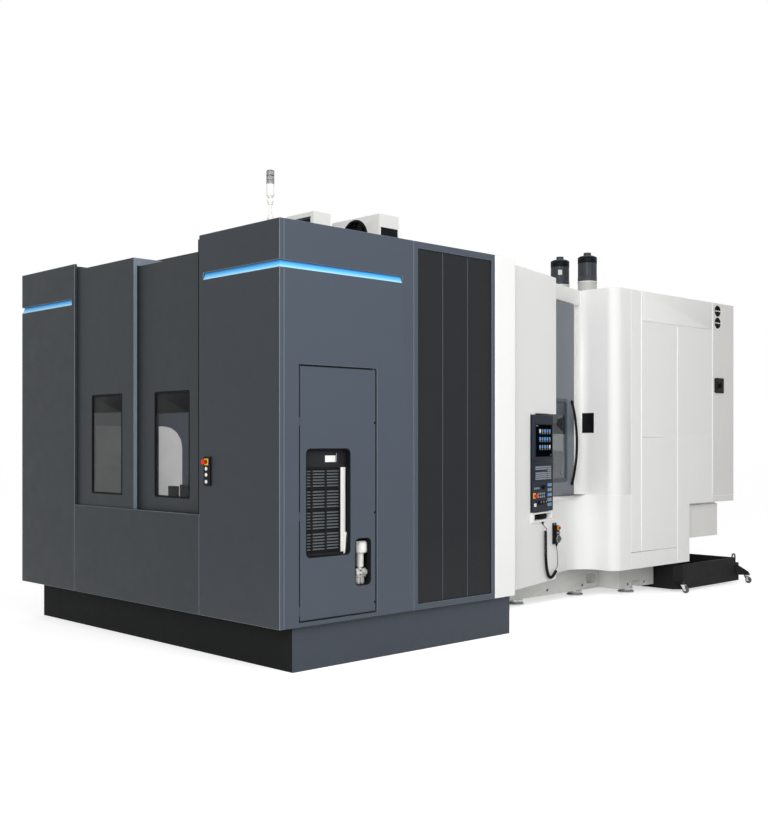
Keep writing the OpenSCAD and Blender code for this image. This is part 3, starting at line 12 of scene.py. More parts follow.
import bmesh
import bpy
import numpy as np
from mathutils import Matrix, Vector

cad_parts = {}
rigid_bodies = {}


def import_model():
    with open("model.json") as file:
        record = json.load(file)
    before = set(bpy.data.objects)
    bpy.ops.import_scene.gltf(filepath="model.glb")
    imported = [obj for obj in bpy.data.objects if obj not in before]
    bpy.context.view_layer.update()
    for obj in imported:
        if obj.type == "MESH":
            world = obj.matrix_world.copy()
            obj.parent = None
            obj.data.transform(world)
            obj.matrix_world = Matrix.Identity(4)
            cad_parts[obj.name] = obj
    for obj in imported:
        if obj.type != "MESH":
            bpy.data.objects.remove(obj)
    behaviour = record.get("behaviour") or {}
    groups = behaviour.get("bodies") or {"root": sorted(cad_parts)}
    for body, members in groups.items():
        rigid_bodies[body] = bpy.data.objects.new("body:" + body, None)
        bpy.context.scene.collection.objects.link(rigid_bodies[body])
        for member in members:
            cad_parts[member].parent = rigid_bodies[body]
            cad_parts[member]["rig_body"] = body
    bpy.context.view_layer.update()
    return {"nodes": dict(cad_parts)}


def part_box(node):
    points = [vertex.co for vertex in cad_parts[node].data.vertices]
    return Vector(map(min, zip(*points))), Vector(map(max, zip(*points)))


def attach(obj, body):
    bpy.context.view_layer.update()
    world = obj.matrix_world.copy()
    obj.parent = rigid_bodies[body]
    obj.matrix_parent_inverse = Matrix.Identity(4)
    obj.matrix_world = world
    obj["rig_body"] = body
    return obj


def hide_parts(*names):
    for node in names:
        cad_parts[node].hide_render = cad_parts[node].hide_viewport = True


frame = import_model()
HALF_W = 1.94
Y_MID = 3.5975

# %% [markdown]
# The photographer stood to the right of the front corner, with a level camera at eye height. A level
# camera keeps every upright parallel, and a small upward shift of the lens brings in the roof, as an
# architect's camera does.

# %% Camera
def shown(name, data):
    """Object with the given data, linked into the scene."""
    obj = bpy.data.objects.new(name, data)
    bpy.context.scene.collection.objects.link(obj)
    return obj


camera = shown("camera", bpy.data.cameras.new("camera"))
camera.location = (8.09, -4.913 - Y_MID, 1.65)
camera.rotation_euler = (math.radians(90), 0, math.radians(46.08))
camera.data.lens = 48.71
camera.data.shift_y = 0.030
bpy.context.scene.camera = camera
bpy.context.scene.view_settings.view_transform = "Standard"
print("camera", tuple(round(v, 3) for v in camera.location))

# %% [markdown]
# The console wall is turned by 15 degrees from the machine's side. Its pieces are easier to place in
# the wall's own directions: s runs along the wall to the back, n goes inwards from its face, and z is
# up. A side is then three directions, across, up and outwards, and with one for each side of the
# machine a plate or knob is drawn once and seated anywhere.

# %% Directions of the machine's sides
WALL_TURN = math.radians(15)
FRONT = np.array([[1, 0, 0], [0, 0, 1], [0, -1, 0]], float)
SIDE = np.array([[0, 1, 0], [0, 0, 1], [1, 0, 0]], float)
BACK = np.array([[-1, 0, 0], [0, 0, 1], [0, 1, 0]], float)
TOP = np.array([[1, 0, 0], [0, 1, 0], [0, 0, 1]], float)
UNDER = np.array([[1, 0, 0], [0, -1, 0], [0, 0, -1]], float)
WALL = np.array([[-math.sin(WALL_TURN), math.cos(WALL_TURN), 0], [0, 0, 1],
                 [math.cos(WALL_TURN), math.sin(WALL_TURN), 0]])
WALL_ROOT = np.array([HALF_W - 0.15, 2.565, 0])


def on_wall(s, n, z):
    """Wall's root plus s along it, less n along its outward direction, at height z."""
    return WALL_ROOT + s * WALL[0] - n * WALL[2] + np.array([0, 0, z])


def seat(part, side, place):
    """Points turned into a side's directions and moved to a place; the faces stay as they are."""
    points, faces = part
    return points @ side + np.asarray(place, float), faces


print("console wall's outward direction", np.round(WALL[2], 3))

# %% [markdown]
# The hand pendant hangs on a curly cord. Such a cord is a helix whose axis itself hangs in a bow, with
# a straight lead at each end. The axis goes through a few points by a smooth spline, and the helix adds
# a circle square to it, whose radius swells from nothing where the coils begin. It is made before the
# looks, because a cord that lies wrong would change the frame.

# %% Curly cord
CORD_R = 0.003
COIL_R = 0.0115
COIL_PITCH = 0.0066
COIL_SWING = 0.040
COIL_BEND = 0.022
LEAD_TOP = 0.035
LEAD_FOOT = 0.195
TURN_POINTS = 14
cord_axis = np.array([
    [0.874, -0.011, 0.900], [0.881, -0.015, 0.868], [0.897, -0.024, 0.836], [0.902, -0.026, 0.820],
    [0.904, -0.026, 0.700], [0.908, -0.026, 0.580], [0.924, -0.026, 0.480], [0.940, -0.026, 0.438],
    [0.964, -0.026, 0.400], [0.996, -0.026, 0.374], [1.032, -0.026, 0.366], [1.068, -0.026, 0.371],
    [1.104, -0.026, 0.386], [1.138, -0.026, 0.406], [1.166, -0.026, 0.424], [1.186, -0.027, 0.444],
    [1.194, -0.027, 0.470], [1.195, -0.027, 0.500], [1.192, -0.027, 0.540], [1.183, -0.027, 0.590],
    [1.173, -0.027, 0.624], [1.165, -0.027, 0.650]])


def through(knots, step):
    """Catmull-Rom spline: between two knots, a cubic whose slopes are half the neighbours' difference."""
    ends = np.vstack([2 * knots[0] - knots[1], knots, 2 * knots[-1] - knots[-2]])
    a, b, c, d = ends[:-3, None], ends[1:-2, None], ends[2:-1, None], ends[3:, None]
    t = np.linspace(0, 1, 40, endpoint=False)[None, :, None]
    curve = 0.5 * (2 * b + (c - a) * t + (2 * a - 5 * b + 4 * c - d) * t**2
                   + (3 * b - a - 3 * c + d) * t**3)
    curve = np.vstack([curve.reshape(-1, 3), knots[-1:]])
    run = np.concatenate([[0], np.cumsum(np.linalg.norm(np.diff(curve, axis=0), axis=1))])
    at = np.linspace(0, run[-1], max(2, int(run[-1] / step) + 1))
    return np.stack([np.interp(at, run, curve[:, k]) for k in range(3)], 1), at


def wound(axis, run, start, stop):
    """Axis plus a circle round it. At each end the wire first swings out to the coil's radius, and then
    leans over: the sine of its lean grows with the run over the bend, until it turns once per pitch."""
    along = np.gradient(axis, axis=0)
    along /= np.linalg.norm(along, axis=1, keepdims=True)
    out = np.tile([0.0, -1.0, 0.0], (len(axis), 1))
    across = np.cross(along, out)
    inside = np.minimum(run - start, stop - run)
    swell = np.clip(inside / COIL_SWING, 0, 1)
    radius = COIL_R * swell**2 * (3 - 2 * swell)
    sine = np.clip((inside - COIL_SWING) / COIL_BEND, 0, 0.999)
    rate = np.minimum(sine / np.sqrt(1 - sine**2) / COIL_R, 2 * np.pi / COIL_PITCH)
    turn = np.cumsum(rate * np.gradient(run))
    return axis + (radius * np.cos(turn))[:, None] * out + (radius * np.sin(turn))[:, None] * across


axis, run = through(cord_axis, COIL_PITCH / TURN_POINTS)
wire = wound(axis, run, LEAD_TOP, run[-1] - LEAD_FOOT)
wire = np.array([on_wall(*point) for point in wire]) - [0, Y_MID, 0]
curve = bpy.data.curves.new("pendant_curl", "CURVE")
curve.dimensions = "3D"
curve.bevel_depth = 1.0
curve.bevel_resolution = 1
curve.use_fill_caps = True
spline = curve.splines.new("POLY")
spline.points.add(len(wire) - 1)
spline.points.foreach_set("co", np.hstack([wire, np.ones((len(wire), 1))]).ravel())
spline.points.foreach_set("radius", np.full(len(wire), CORD_R))
curl = shown("pendant_curl", curve)
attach(curl, "machine_frame")
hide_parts("pendant_cord")

# %% [markdown]
# A product photograph on white needs little: a bright, even surround, one broad soft lamp on the side
# that should look lighter, a fill from far in front, and a pale floor that keeps the contact shadow.
# Two small lamps inside show what is behind the panes. The surround is plain white where the camera, a
# reflection or a pane looks at it, and dimmer where it lights the machine, so that white paint keeps
# its shade.

# %% Surround, lamps and floor
AMBIENT = 0.38
FLOOR_GLOW = 0.62
FLOOR_HALF = 60


def wire_up(tree, *pairs):
    """Joins each output socket to its input socket."""
    for source, target in pairs:
        tree.links.new(source, target)


def put(node, values):
    """Sets a node's input sockets by their names."""
    for label, value in values.items():
        node.inputs[label].default_value = value


def blank(name):
    """New material, its node tree and its Principled shader."""
    material = bpy.data.materials.new(name)
    material.use_nodes = True
    return material, material.node_tree, material.node_tree.nodes["Principled BSDF"]


def seen_directly(tree):
    """One where a camera, glossy or transmitted ray looks, and zero for the light on surfaces."""
    path = tree.nodes.new("ShaderNodeLightPath")
    first, both = (tree.nodes.new("ShaderNodeMath") for _ in range(2))
    first.operation = both.operation = "MAXIMUM"
    wire_up(tree, (path.outputs["Is Camera Ray"], first.inputs[0]),
            (path.outputs["Is Glossy Ray"], first.inputs[1]),
            (first.outputs[0], both.inputs[0]),
            (path.outputs["Is Transmission Ray"], both.inputs[1]))
    return both.outputs[0]


def lamp(name, place, aim, size, power):
    """Square area lamp at a place, turned to look at a point."""
    light = bpy.data.lights.new(name, "AREA")
    light.size, light.energy = size, power
    obj = shown(name, light)
    obj.location = np.array(place) - [0, Y_MID, 0]
    look = np.array(aim, float) - np.array(place, float)
    obj.rotation_euler = (math.acos(-look[2] / np.linalg.norm(look)), 0, math.atan2(-look[0], look[1]))


world = bpy.data.worlds.new("studio")
bpy.context.scene.world = world
world.use_nodes = True
surround = world.node_tree.nodes["Background"]
level = world.node_tree.nodes.new("ShaderNodeMapRange")
put(level, {"To Min": AMBIENT})
wire_up(world.node_tree, (seen_directly(world.node_tree), level.inputs["Value"]),
        (level.outputs["Result"], surround.inputs["Strength"]))
put(surround, {"Color": (1, 1, 1, 1)})
lamp("broad_side_lamp", (8.0, 0.5, 5.0), (1.8, 2.4, 1.7), 5.0, 230)
lamp("front_fill", (9.2, -10.3, 4.5), (0.9, 3.0, 1.6), 6.0, 1050)
lamp("pallet_station_lamp", (0.2, 0.80, 2.88), (0.3, 1.4, 1.4), 0.8, 56)
lamp("work_zone_lamp", (0.6, 3.3, 2.92), (0.2, 3.8, 1.0), 0.9, 55)

floor_mesh = bpy.data.meshes.new("studio_floor")
floor_corners = [(u * FLOOR_HALF, v * FLOOR_HALF, 0) for u, v in ((-1, -1), (1, -1), (1, 1), (-1, 1))]
floor_mesh.from_pydata(floor_corners, [], [(0, 1, 2, 3)])
floor = shown("studio_floor", floor_mesh)
pale, tree, base = blank("pale_floor")
put(base, {"Base Color": (0.82, 0.82, 0.82, 1), "Roughness": 0.9, "Emission Color": (1, 1, 1, 1)})
lift = tree.nodes.new("ShaderNodeMapRange")
put(lift, {"To Max": FLOOR_GLOW})
wire_up(tree, (seen_directly(tree), lift.inputs["Value"]),
        (lift.outputs["Result"], base.inputs["Emission Strength"]))
floor_mesh.materials.append(pale)

# %% [markdown]
# The covers are powder coated: a matt film with a fine orange-peel texture and a tone that drifts a
# little from sheet to sheet. Shop dust settles in patches low on the machine. Both effects serve many
# finishes, so each is a node group with named sockets, and a finish only sets its numbers.

# %% Node groups for coat and dust
def linear(code):
    """Screen colour, as six hex digits, turned to the linear values that shaders use."""
    c = np.array([int(code[i:i + 2], 16) for i in (0, 2, 4)]) / 255
    return (*np.where(c <= 0.04045, c / 12.92, ((c + 0.055) / 1.055) ** 2.4), 1.0)


def group(name, inputs, outputs):
    """Empty shader group with sockets of the given names and kinds, and its two end nodes."""
    tree = bpy.data.node_groups.new(name, "ShaderNodeTree")
    for label, kind in inputs:
        tree.interface.new_socket(label, in_out="INPUT", socket_type="NodeSocket" + kind)
    for label, kind in outputs:
        tree.interface.new_socket(label, in_out="OUTPUT", socket_type="NodeSocket" + kind)
    return tree, tree.nodes.new("NodeGroupInput"), tree.nodes.new("NodeGroupOutput")


def math_node(tree, operation, a, b):
    """Result of one sum on two sockets or numbers."""
    node = tree.nodes.new("ShaderNodeMath")
    node.operation = operation
    for socket, value in zip(node.inputs, (a, b)):
        if isinstance(value, (int, float)):
            socket.default_value = value
        else:
            tree.links.new(value, socket)
    return node.outputs[0]


def blended(tree, share, low, high):
    """Colour between two sockets by a share from zero to one."""
    node = tree.nodes.new("ShaderNodeMix")
    node.data_type = "RGBA"
    wire_up(tree, (share, node.inputs["Factor"]), (low, node.inputs["A"]), (high, node.inputs["B"]))
    return node.outputs["Result"]


def noise(tree, where, scale, detail):
    """Noise of one scale on a position socket, from zero to one."""
    node = tree.nodes.new("ShaderNodeTexNoise")
    put(node, {"Detail": detail})
    tree.links.new(where, node.inputs["Vector"])
    if isinstance(scale, (int, float)):
        node.inputs["Scale"].default_value = scale
    else:
        tree.links.new(scale, node.inputs["Scale"])
    return node.outputs["Fac"]


coat, ends_in, ends_out = group(
    "powder_coat", [("Paint", "Color"), ("Grain Scale", "Float"), ("Tone Drift", "Float"),
                    ("Roughness", "Float")],
    [("Color", "Color"), ("Roughness", "Float"), ("Height", "Float")])
place = coat.nodes.new("ShaderNodeTexCoord").outputs["Object"]
grain = noise(coat, place, ends_in.outputs["Grain Scale"], 2.0)
drift = noise(coat, place, 1.3, 3.0)
shade = math_node(coat, "MULTIPLY", math_node(coat, "SUBTRACT", drift, 0.5), ends_in.outputs["Tone Drift"])
speck = math_node(coat, "MULTIPLY", math_node(coat, "SUBTRACT", grain, 0.5), 0.10)
tinted = coat.nodes.new("ShaderNodeHueSaturation")
wire_up(coat, (math_node(coat, "ADD", math_node(coat, "ADD", shade, speck), 1.0), tinted.inputs["Value"]),
        (ends_in.outputs["Paint"], tinted.inputs["Color"]),
        (tinted.outputs["Color"], ends_out.inputs["Color"]), (grain, ends_out.inputs["Height"]))
streak = math_node(coat, "MULTIPLY", math_node(coat, "SUBTRACT", noise(coat, place, 9.0, 4.0), 0.5), 0.16)
wire_up(coat, (math_node(coat, "ADD", ends_in.outputs["Roughness"], streak), ends_out.inputs["Roughness"]))

dust, ends_in, ends_out = group(
    "shop_dust", [("Color", "Color"), ("Dust", "Color"), ("Reach", "Float"), ("Amount", "Float")],
    [("Color", "Color"), ("Mask", "Float")])
place = dust.nodes.new("ShaderNodeTexCoord").outputs["Object"]
split = dust.nodes.new("ShaderNodeSeparateXYZ")
dust.links.new(place, split.inputs[0])
low = dust.nodes.new("ShaderNodeMapRange")
put(low, {"From Min": 0.0, "To Min": 1.0, "To Max": 0.0})
wire_up(dust, (split.outputs["Z"], low.inputs["Value"]), (ends_in.outputs["Reach"], low.inputs["From Max"]))
cloud = noise(dust, place, 16.0, 5.0)
mask = math_node(dust, "MULTIPLY", math_node(dust, "MULTIPLY", low.outputs["Result"], cloud),
                 ends_in.outputs["Amount"])
wire_up(dust, (blended(dust, mask, ends_in.outputs["Color"], ends_in.outputs["Dust"]),
               ends_out.inputs["Color"]), (mask, ends_out.inputs["Mask"]))
print("groups:", [g.name for g in bpy.data.node_groups])

# %% [markdown]
# A finish is then one Principled shader fed by the two groups. Covers differ only in colour, gloss and
# grain, so one function paints them all. The paint of the covers has a lighter, smoother twin for broken
# edges, which is a painted highlight along every fold.

# %% Painted and moulded finishes
DUST_COLOUR = "9a958c"
DUST_REACH = 0.9
GRAIN_DEPTH = 0.0006


def coated(name, colour, rough, grain_scale=420.0, bump=0.08, drift=0.10, metal=0.0, dust_amount=0.05,
           gloss=0.25):
    """Principled shader whose colour, roughness and bump come from the coat and dust groups."""
    material, tree, shader = blank(name)
    film = tree.nodes.new("ShaderNodeGroup")
    film.node_tree = coat
    put(film, {"Paint": linear(colour), "Grain Scale": grain_scale, "Tone Drift": drift,
               "Roughness": rough})
    settled = tree.nodes.new("ShaderNodeGroup")
    settled.node_tree = dust
    put(settled, {"Dust": linear(DUST_COLOUR), "Reach": DUST_REACH, "Amount": dust_amount})
    relief = tree.nodes.new("ShaderNodeBump")
    put(relief, {"Strength": bump, "Distance": GRAIN_DEPTH})
    wire_up(tree, (film.outputs["Color"], settled.inputs["Color"]),
            (settled.outputs["Color"], shader.inputs["Base Color"]),
            (math_node(tree, "ADD", film.outputs["Roughness"],
                       math_node(tree, "MULTIPLY", settled.outputs["Mask"], 0.3)),
             shader.inputs["Roughness"]),
            (film.outputs["Height"], relief.inputs["Height"]),
            (relief.outputs["Normal"], shader.inputs["Normal"]))
    put(shader, {"Metallic": metal, "Specular IOR Level": 0.5 if metal else gloss})
    return material


finish = {
    # Painted light and shade: one graphite paint, darker for front, left front, roof and doors, lighter for
    # sides.
    "shaded_graphite": coated("shaded_graphite", "2e343a", 0.46),
    "deeper_shaded_graphite": coated("deeper_shaded_graphite", "282e33", 0.46),
    "lit_side_graphite": coated("lit_side_graphite", "454d58", 0.46),
    "shaded_door_graphite": coated("shaded_door_graphite", "292f32", 0.46),
    # Painted highlight: a lighter graphite for the bevelled edges of the dark covers.
    "graphite_edge_highlight": coated("graphite_edge_highlight", "6b737d", 0.36, bump=0.03),
    # Painted light: a lighter graphite for the left setup door's end, as if lit from the side.
    "lit_door_end": coated("lit_door_end", "7e8792", 0.40, bump=0.04),
    "panel": coated("panel", "232427", 0.52, gloss=0.12),
    "plinth": coated("plinth", "383f49", 0.50),
    # Painted shade: a near black copy of the plinth paint for its front, shaded by the overhang.
    "shaded_plinth_front": coated("shaded_plinth_front", "1b1c1d", 0.56, dust_amount=0.01, gloss=0.04),
    "white": coated("white", "f0f0ee", 0.40, drift=0.03),
    "wall_white": coated("wall_white", "f0f0ee", 0.40, drift=0.03),
    "rear_white": coated("rear_white", "f0f0ee", 0.40, drift=0.03),
    "cabinet": coated("cabinet", "e6e5e2", 0.42, drift=0.03),
    # Painted highlight: a lighter white for bevelled edges and the rear seam strips.
    "white_edge_highlight": coated("white_edge_highlight", "fbfbf9", 0.30, bump=0.02, drift=0.02),
    "casting": coated("casting", "d2d3cf", 0.45, grain_scale=160.0, bump=0.2, drift=0.06, dust_amount=0.12),
    "door": coated("door", "727880", 0.42),
    # Painted highlight: a lighter grey for the operator door's bevelled edges.
    "door_edge_highlight": coated("door_edge_highlight", "9a9fa3", 0.32, bump=0.03),
    "black": coated("black", "131516", 0.45, drift=0.2, gloss=0.10),
    "tank": coated("tank", "171819", 0.58, drift=0.2, dust_amount=0.03, gloss=0.1),
    "black_plastic": coated("black_plastic", "131416", 0.40, grain_scale=900.0, drift=0.1, gloss=0.08),
    "console": coated("console", "262b34", 0.46, grain_scale=900.0, drift=0.06, gloss=0.05),
    # A lighter blue-grey: painted highlight on the console's bevelled edges, and trim of the operator
    # window.
    "console_trim_and_highlight": coated("console_trim_and_highlight", "434b58", 0.40, grain_scale=900.0, drift=0.06, gloss=0.2),
    "key": coated("key", "8d94a0", 0.40, grain_scale=900.0, drift=0.06),
    "white_plastic": coated("white_plastic", "eeeeea", 0.34, grain_scale=900.0, drift=0.03),
    "red": coated("red", "d62a1e", 0.28, grain_scale=900.0, drift=0.06),
    "yellow": coated("yellow", "e9b51f", 0.32, grain_scale=900.0, drift=0.06),
    "rubber": coated("rubber", "131415", 0.62, grain_scale=700.0, drift=0.2, gloss=0.08),
    "wheel": coated("wheel", "4b4e51", 0.55, grain_scale=500.0, dust_amount=0.5),
    "slat": coated("slat", "585d62", 0.45, grain_scale=900.0, drift=0.25),
    "motor": coated("motor", "41464c", 0.40, drift=0.1),
    "steel": coated("steel", "b4b8bb", 0.30, grain_scale=1200.0, bump=0.05, metal=1.0),
    "bright_steel": coated("bright_steel", "d6d9db", 0.20, grain_scale=1200.0, bump=0.03, metal=1.0),
}
curve.materials.append(finish["rubber"])
print("finishes:", len(finish))

# %% [markdown]
# Three kinds of finish aren't paint. The window panes are smoked, shatter-proof sheets: a dark film
# that lets a share of what is behind through, which Alpha does without the noise of refraction. The
# light bars glow pale blue along their foot, where the lamps sit, and fall to a deeper blue at the top
# of the wedge. The touch screen is a black glass whose picture is lit from behind.

# %% Panes, lit bars and screen
def smoked(name, colour, cover):
    """Dark glossy sheet that hides the given share of what is behind it, with faint wipe marks."""
    material, tree, shader = blank(name)
    put(shader, {"Base Color": linear(colour)})
    where = tree.nodes.new("ShaderNodeTexCoord").outputs["Object"]
    smear = noise(tree, where, 7.0, 6.0)
    wire_up(tree, (math_node(tree, "MULTIPLY", smear, 0.14), shader.inputs["Roughness"]),
            (math_node(tree, "ADD", math_node(tree, "MULTIPLY", smear, 0.08), cover - 0.04),
             shader.inputs["Alpha"]))
    return material


def glowing(name, foot, top, colours, strength):
    """Light that changes between colours with height, from foot to top."""
    material, tree, shader = blank(name)
    height = tree.nodes.new("ShaderNodeSeparateXYZ")
    share = tree.nodes.new("ShaderNodeMapRange")
    put(share, {"From Min": foot, "From Max": top})
    ramp = tree.nodes.new("ShaderNodeValToRGB")
    spots = np.linspace(0, 1, len(colours))
    for spot, colour in zip(spots[1:-1], colours[1:-1]):
        ramp.color_ramp.elements.new(spot).color = linear(colour)
    ramp.color_ramp.elements[0].color = linear(colours[0])
    ramp.color_ramp.elements[-1].color = linear(colours[-1])
    wire_up(tree, (tree.nodes.new("ShaderNodeTexCoord").outputs["Object"], height.inputs[0]),
            (height.outputs["Z"], share.inputs["Value"]), (share.outputs["Result"], ramp.inputs["Fac"]),
            (ramp.outputs["Color"], shader.inputs["Emission Color"]),
            (ramp.outputs["Color"], shader.inputs["Base Color"]))
    put(shader, {"Emission Strength": strength, "Roughness": 0.4})
    return material


BAR_H = 0.05
BAR_GLOW = 0.22
TOWER_BAR_Z = 2.868
COLUMN_BAR_Z = 2.853
bar_colours = ("a8dbf6", "64bae9", "3f9fe0", "2f6fb0")
finish["pane"] = smoked("smoked_pane", "2b3034", 0.19)
# Painted shade: the left setup pane is a darker, denser copy of the same smoked glass.
finish["shaded_left_pane"] = smoked("shaded_left_pane", "15191b", 0.74)
# Painted shade: a dark film for the darker view through the top of the operator window.
finish["upper_shade_film"] = smoked("upper_shade_film", "1c2023", 0.74)
finish["grey_pane"] = smoked("grey_pane", "6d7376", 0.62)
finish["tower_glow"] = glowing("tower_glow", TOWER_BAR_Z, TOWER_BAR_Z + BAR_H, bar_colours, BAR_GLOW)
finish["column_glow"] = glowing("column_glow", COLUMN_BAR_Z, COLUMN_BAR_Z + BAR_H, bar_colours, BAR_GLOW)
finish["screen"] = coated("screen_glass", "07090c", 0.30, grain_scale=60.0, bump=0.0, dust_amount=0.0,
                          gloss=0.0)
finish["icon_blue"] = glowing("icon_blue", 1.0, 1.8, ("2a7cc6", "2f86d2"), 0.22)
finish["icon_grey"] = glowing("icon_grey", 1.5, 1.8, ("5d6873", "6a7683"), 0.1)
finish["icon_white"] = glowing("icon_white", 1.5, 1.8, ("c2c9cf", "d6dce1"), 0.2)
print("finishes with glass and light:", len(finish))

# %% [markdown]
# Most of the machine is already right as a solid, except that its edges are knife sharp. On real sheet
# metal every fold has a radius, and that thin round is what draws the bright outlines of the covers. So
# a copy of each solid is welded, its flat faces are made whole again, and a Bevel modifier breaks the
# sharp edges. The strip that the bevel adds takes the finish's lighter twin, a painted highlight. Three
# pieces take another finish on the faces that look one way, painted light and shade: the plinth's front
# is a near black copy of its paint, painted shade under the overhang, and the left setup door's end and
# the tower's front cover, where it turns round to the side, take lighter copies, painted side light.

# %% Broken edges on the solids
FOLD_ANGLE = math.radians(32)
FLAT_ANGLE = math.radians(0.3)
# Painted shade on the plinth's front, painted side light on the door's end and the front cover's return.
SECOND = {"front_plinth": ((0, -1, 0), "shaded_plinth_front"), "setup_door_left": ((1, 0, 0), "lit_door_end"),
          "tower_front_cover": ((1, 0, 0), "lit_side_graphite")}


def dress(node, coat_name, width, edge=None):
    """Copy of a solid with welded corners, whole flat faces and rounded edges, in place of the solid."""
    looks, second = SECOND.get(node, ((0, 0, 1), coat_name))
    mesh = frame["nodes"][node].data.copy()
    mesh.name = node + "_skin"
    mesh.materials.clear()
    for name in (coat_name, edge or coat_name, second):
        mesh.materials.append(finish[name])
    work = bmesh.new()
    work.from_mesh(mesh)
    bmesh.ops.remove_doubles(work, verts=work.verts, dist=1e-5)
    bmesh.ops.dissolve_limit(work, angle_limit=FLAT_ANGLE, verts=work.verts, edges=work.edges)
    work.normal_update()
    for face in work.faces:
        face.smooth = True
        # Faces that look the given way take the painted light or shade finish.
        face.material_index = 2 if np.dot(face.normal, looks) > 0.9 else 0
    work.to_mesh(mesh)
    work.free()
    obj = shown(node + "_skin", mesh)
    if width:
        breaker = obj.modifiers.new("edge_break", "BEVEL")
        breaker.width = width
        breaker.segments = 2
        breaker.limit_method = "ANGLE"
        breaker.angle_limit = FOLD_ANGLE
        breaker.use_clamp_overlap = False
        breaker.harden_normals = True
        # The bevel's faces take the lighter edge paint, a painted highlight.
        breaker.material = 1
    mesh.set_sharp_from_angle(angle=FOLD_ANGLE)
    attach(obj, frame["nodes"][node]["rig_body"])
    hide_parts(node)
    return obj


skins = {
    "dark_paint": [
        ("column_front_cover", "deeper_shaded_graphite", 0.004, "graphite_edge_highlight"),
        ("left_side_cover", "lit_side_graphite", 0.004, "graphite_edge_highlight"),
        ("tower_front_cover", "shaded_graphite", 0.004, "graphite_edge_highlight"),
        ("tower_side_cover", "lit_side_graphite", 0.0025, "graphite_edge_highlight"),
        ("front_skirt", "deeper_shaded_graphite", 0.003, "graphite_edge_highlight"), ("access_door", "lit_side_graphite", 0.0015, "graphite_edge_highlight"),
        ("setup_door_left", "shaded_door_graphite", 0.002, "graphite_edge_highlight"),
        ("setup_door_right", "shaded_door_graphite", 0.002, None),
        ("roof_panels", "shaded_graphite", 0.002, None)],
    "panel_paint": [("side_panels", "panel", 0.0025, None)],
    "plinth_paint": [("front_plinth", "plinth", 0.004, None)],
    "white_paint": [
        ("corner_post", "white", 0.005, "white_edge_highlight"), ("console_wall", "wall_white", 0.0025, "white_edge_highlight"),
        ("door_frame", "rear_white", 0.003, "white_edge_highlight"), ("curved_apron", "white", 0.004, "white_edge_highlight"),
        ("rear_side_cover", "rear_white", 0.0025, "white_edge_highlight"),
        ("rear_left_cover", "rear_white", 0.005, "white_edge_highlight"),
        ("control_cabinet", "cabinet", 0.0025, "white_edge_highlight"), ("hydraulic_unit", "cabinet", 0.006, None),
        ("roof_coolers", "white", 0.003, None), ("console_mount", "white", 0.002, None)],
    "door_paint": [("operator_door", "door", 0.003, "door_edge_highlight")],
    "casting_paint": [
        ("bed_casting", "casting", 0.006, None), ("column", "casting", 0.006, None),
        ("spindle_head", "casting", 0.006, None), ("rotary_table", "casting", 0.005, None),
        ("pallet_changer", "white", 0.003, None)],
    "black_paint": [
        ("oil_cooler", "black", 0.0008, None), ("operator_handle", "black", 0, None),
        ("y_axis_drives", "motor", 0.002, None), ("coolant_tank", "tank", 0.003, None)],
    "black_plastic": [
        ("setup_control_box", "black_plastic", 0.002, None),
        ("console_knob", "black_plastic", 0.0015, None),
        ("pendant_body", "black_plastic", 0.002, None), ("main_switch_knob", "black_plastic", 0.002, None),
        ("pendant_dial", "motor", 0.0015, None), ("cooler_fan", "black_plastic", 0.001, None)],
    "white_plastic": [
        ("stack_light", "white_plastic", 0.001, None), ("setup_button_top", "white_plastic", 0.0015, None),
        ("setup_button_middle", "white_plastic", 0.0015, None),
        ("setup_button_bottom", "white_plastic", 0.0015, None)],
    "red_plastic": [("setup_estop", "red", 0.003, None), ("console_estop", "red", 0.003, None),
                    ("pendant_estop", "red", 0.0025, None)],
    "console_plastic": [("console_housing", "console", 0.0015, "console_trim_and_highlight")],
    "screen": [("console_screen", "screen", 0.0008, None)],
    "pane": [("setup_window_left", "shaded_left_pane", 0.001, None), ("setup_window_right", "pane", 0.001, None),
             ("operator_window", "grey_pane", 0.001, None)],
    "steel": [
        ("spindle", "bright_steel", 0.002, None), ("work_pallet", "steel", 0.003, None),
        ("setup_pallet", "steel", 0.003, None), ("changer_lift", "bright_steel", 0.002, None),
        ("caster_fork_front", "bright_steel", 0.001, None),
        ("caster_fork_rear", "bright_steel", 0.001, None)],
    "wheel": [("caster_wheel_front", "wheel", 0.0015, None), ("caster_wheel_rear", "wheel", 0.0015, None)],
}
skin = {node: dress(node, paint, width, edge)
        for slot, rows in skins.items() for node, paint, width, edge in rows}
print("dressed solids:", len(skin), "left plain:", sorted(set(frame["nodes"]) - set(skin)))

# %% [markdown]
# Everything that follows is small: gaskets, bezels, keys, vents, hoses. Each is a surface on a grid of
# two parameters. Three such surfaces are enough: a profile turned round an axis, for knobs and lenses;
# nested rounded rectangles at rising heights, for plates, keys and frames; and a section carried along
# a path, for hoses and trims. Grids are computed whole, and neighbouring grid points become quads.

# %% Three families of surfaces
def woven(rows, cols, close_rows=False):
    """Quads between neighbouring grid points; columns always close, and rows when asked."""
    a, b = np.meshgrid(np.arange(rows - (not close_rows)), np.arange(cols), indexing="ij")
    c, d = (a + 1) % rows, (b + 1) % cols
    return np.stack([a * cols + b, a * cols + d, c * cols + d, c * cols + b], -1).reshape(-1, 4).tolist()


def capped(grid):
    """Points of a grid of closed rings, and its quads with one face over each end ring."""
    rows, cols = grid.shape[:2]
    ends = [list(range(cols))[::-1], list(range((rows - 1) * cols, rows * cols))]
    return grid.reshape(-1, 3), woven(rows, cols) + ends


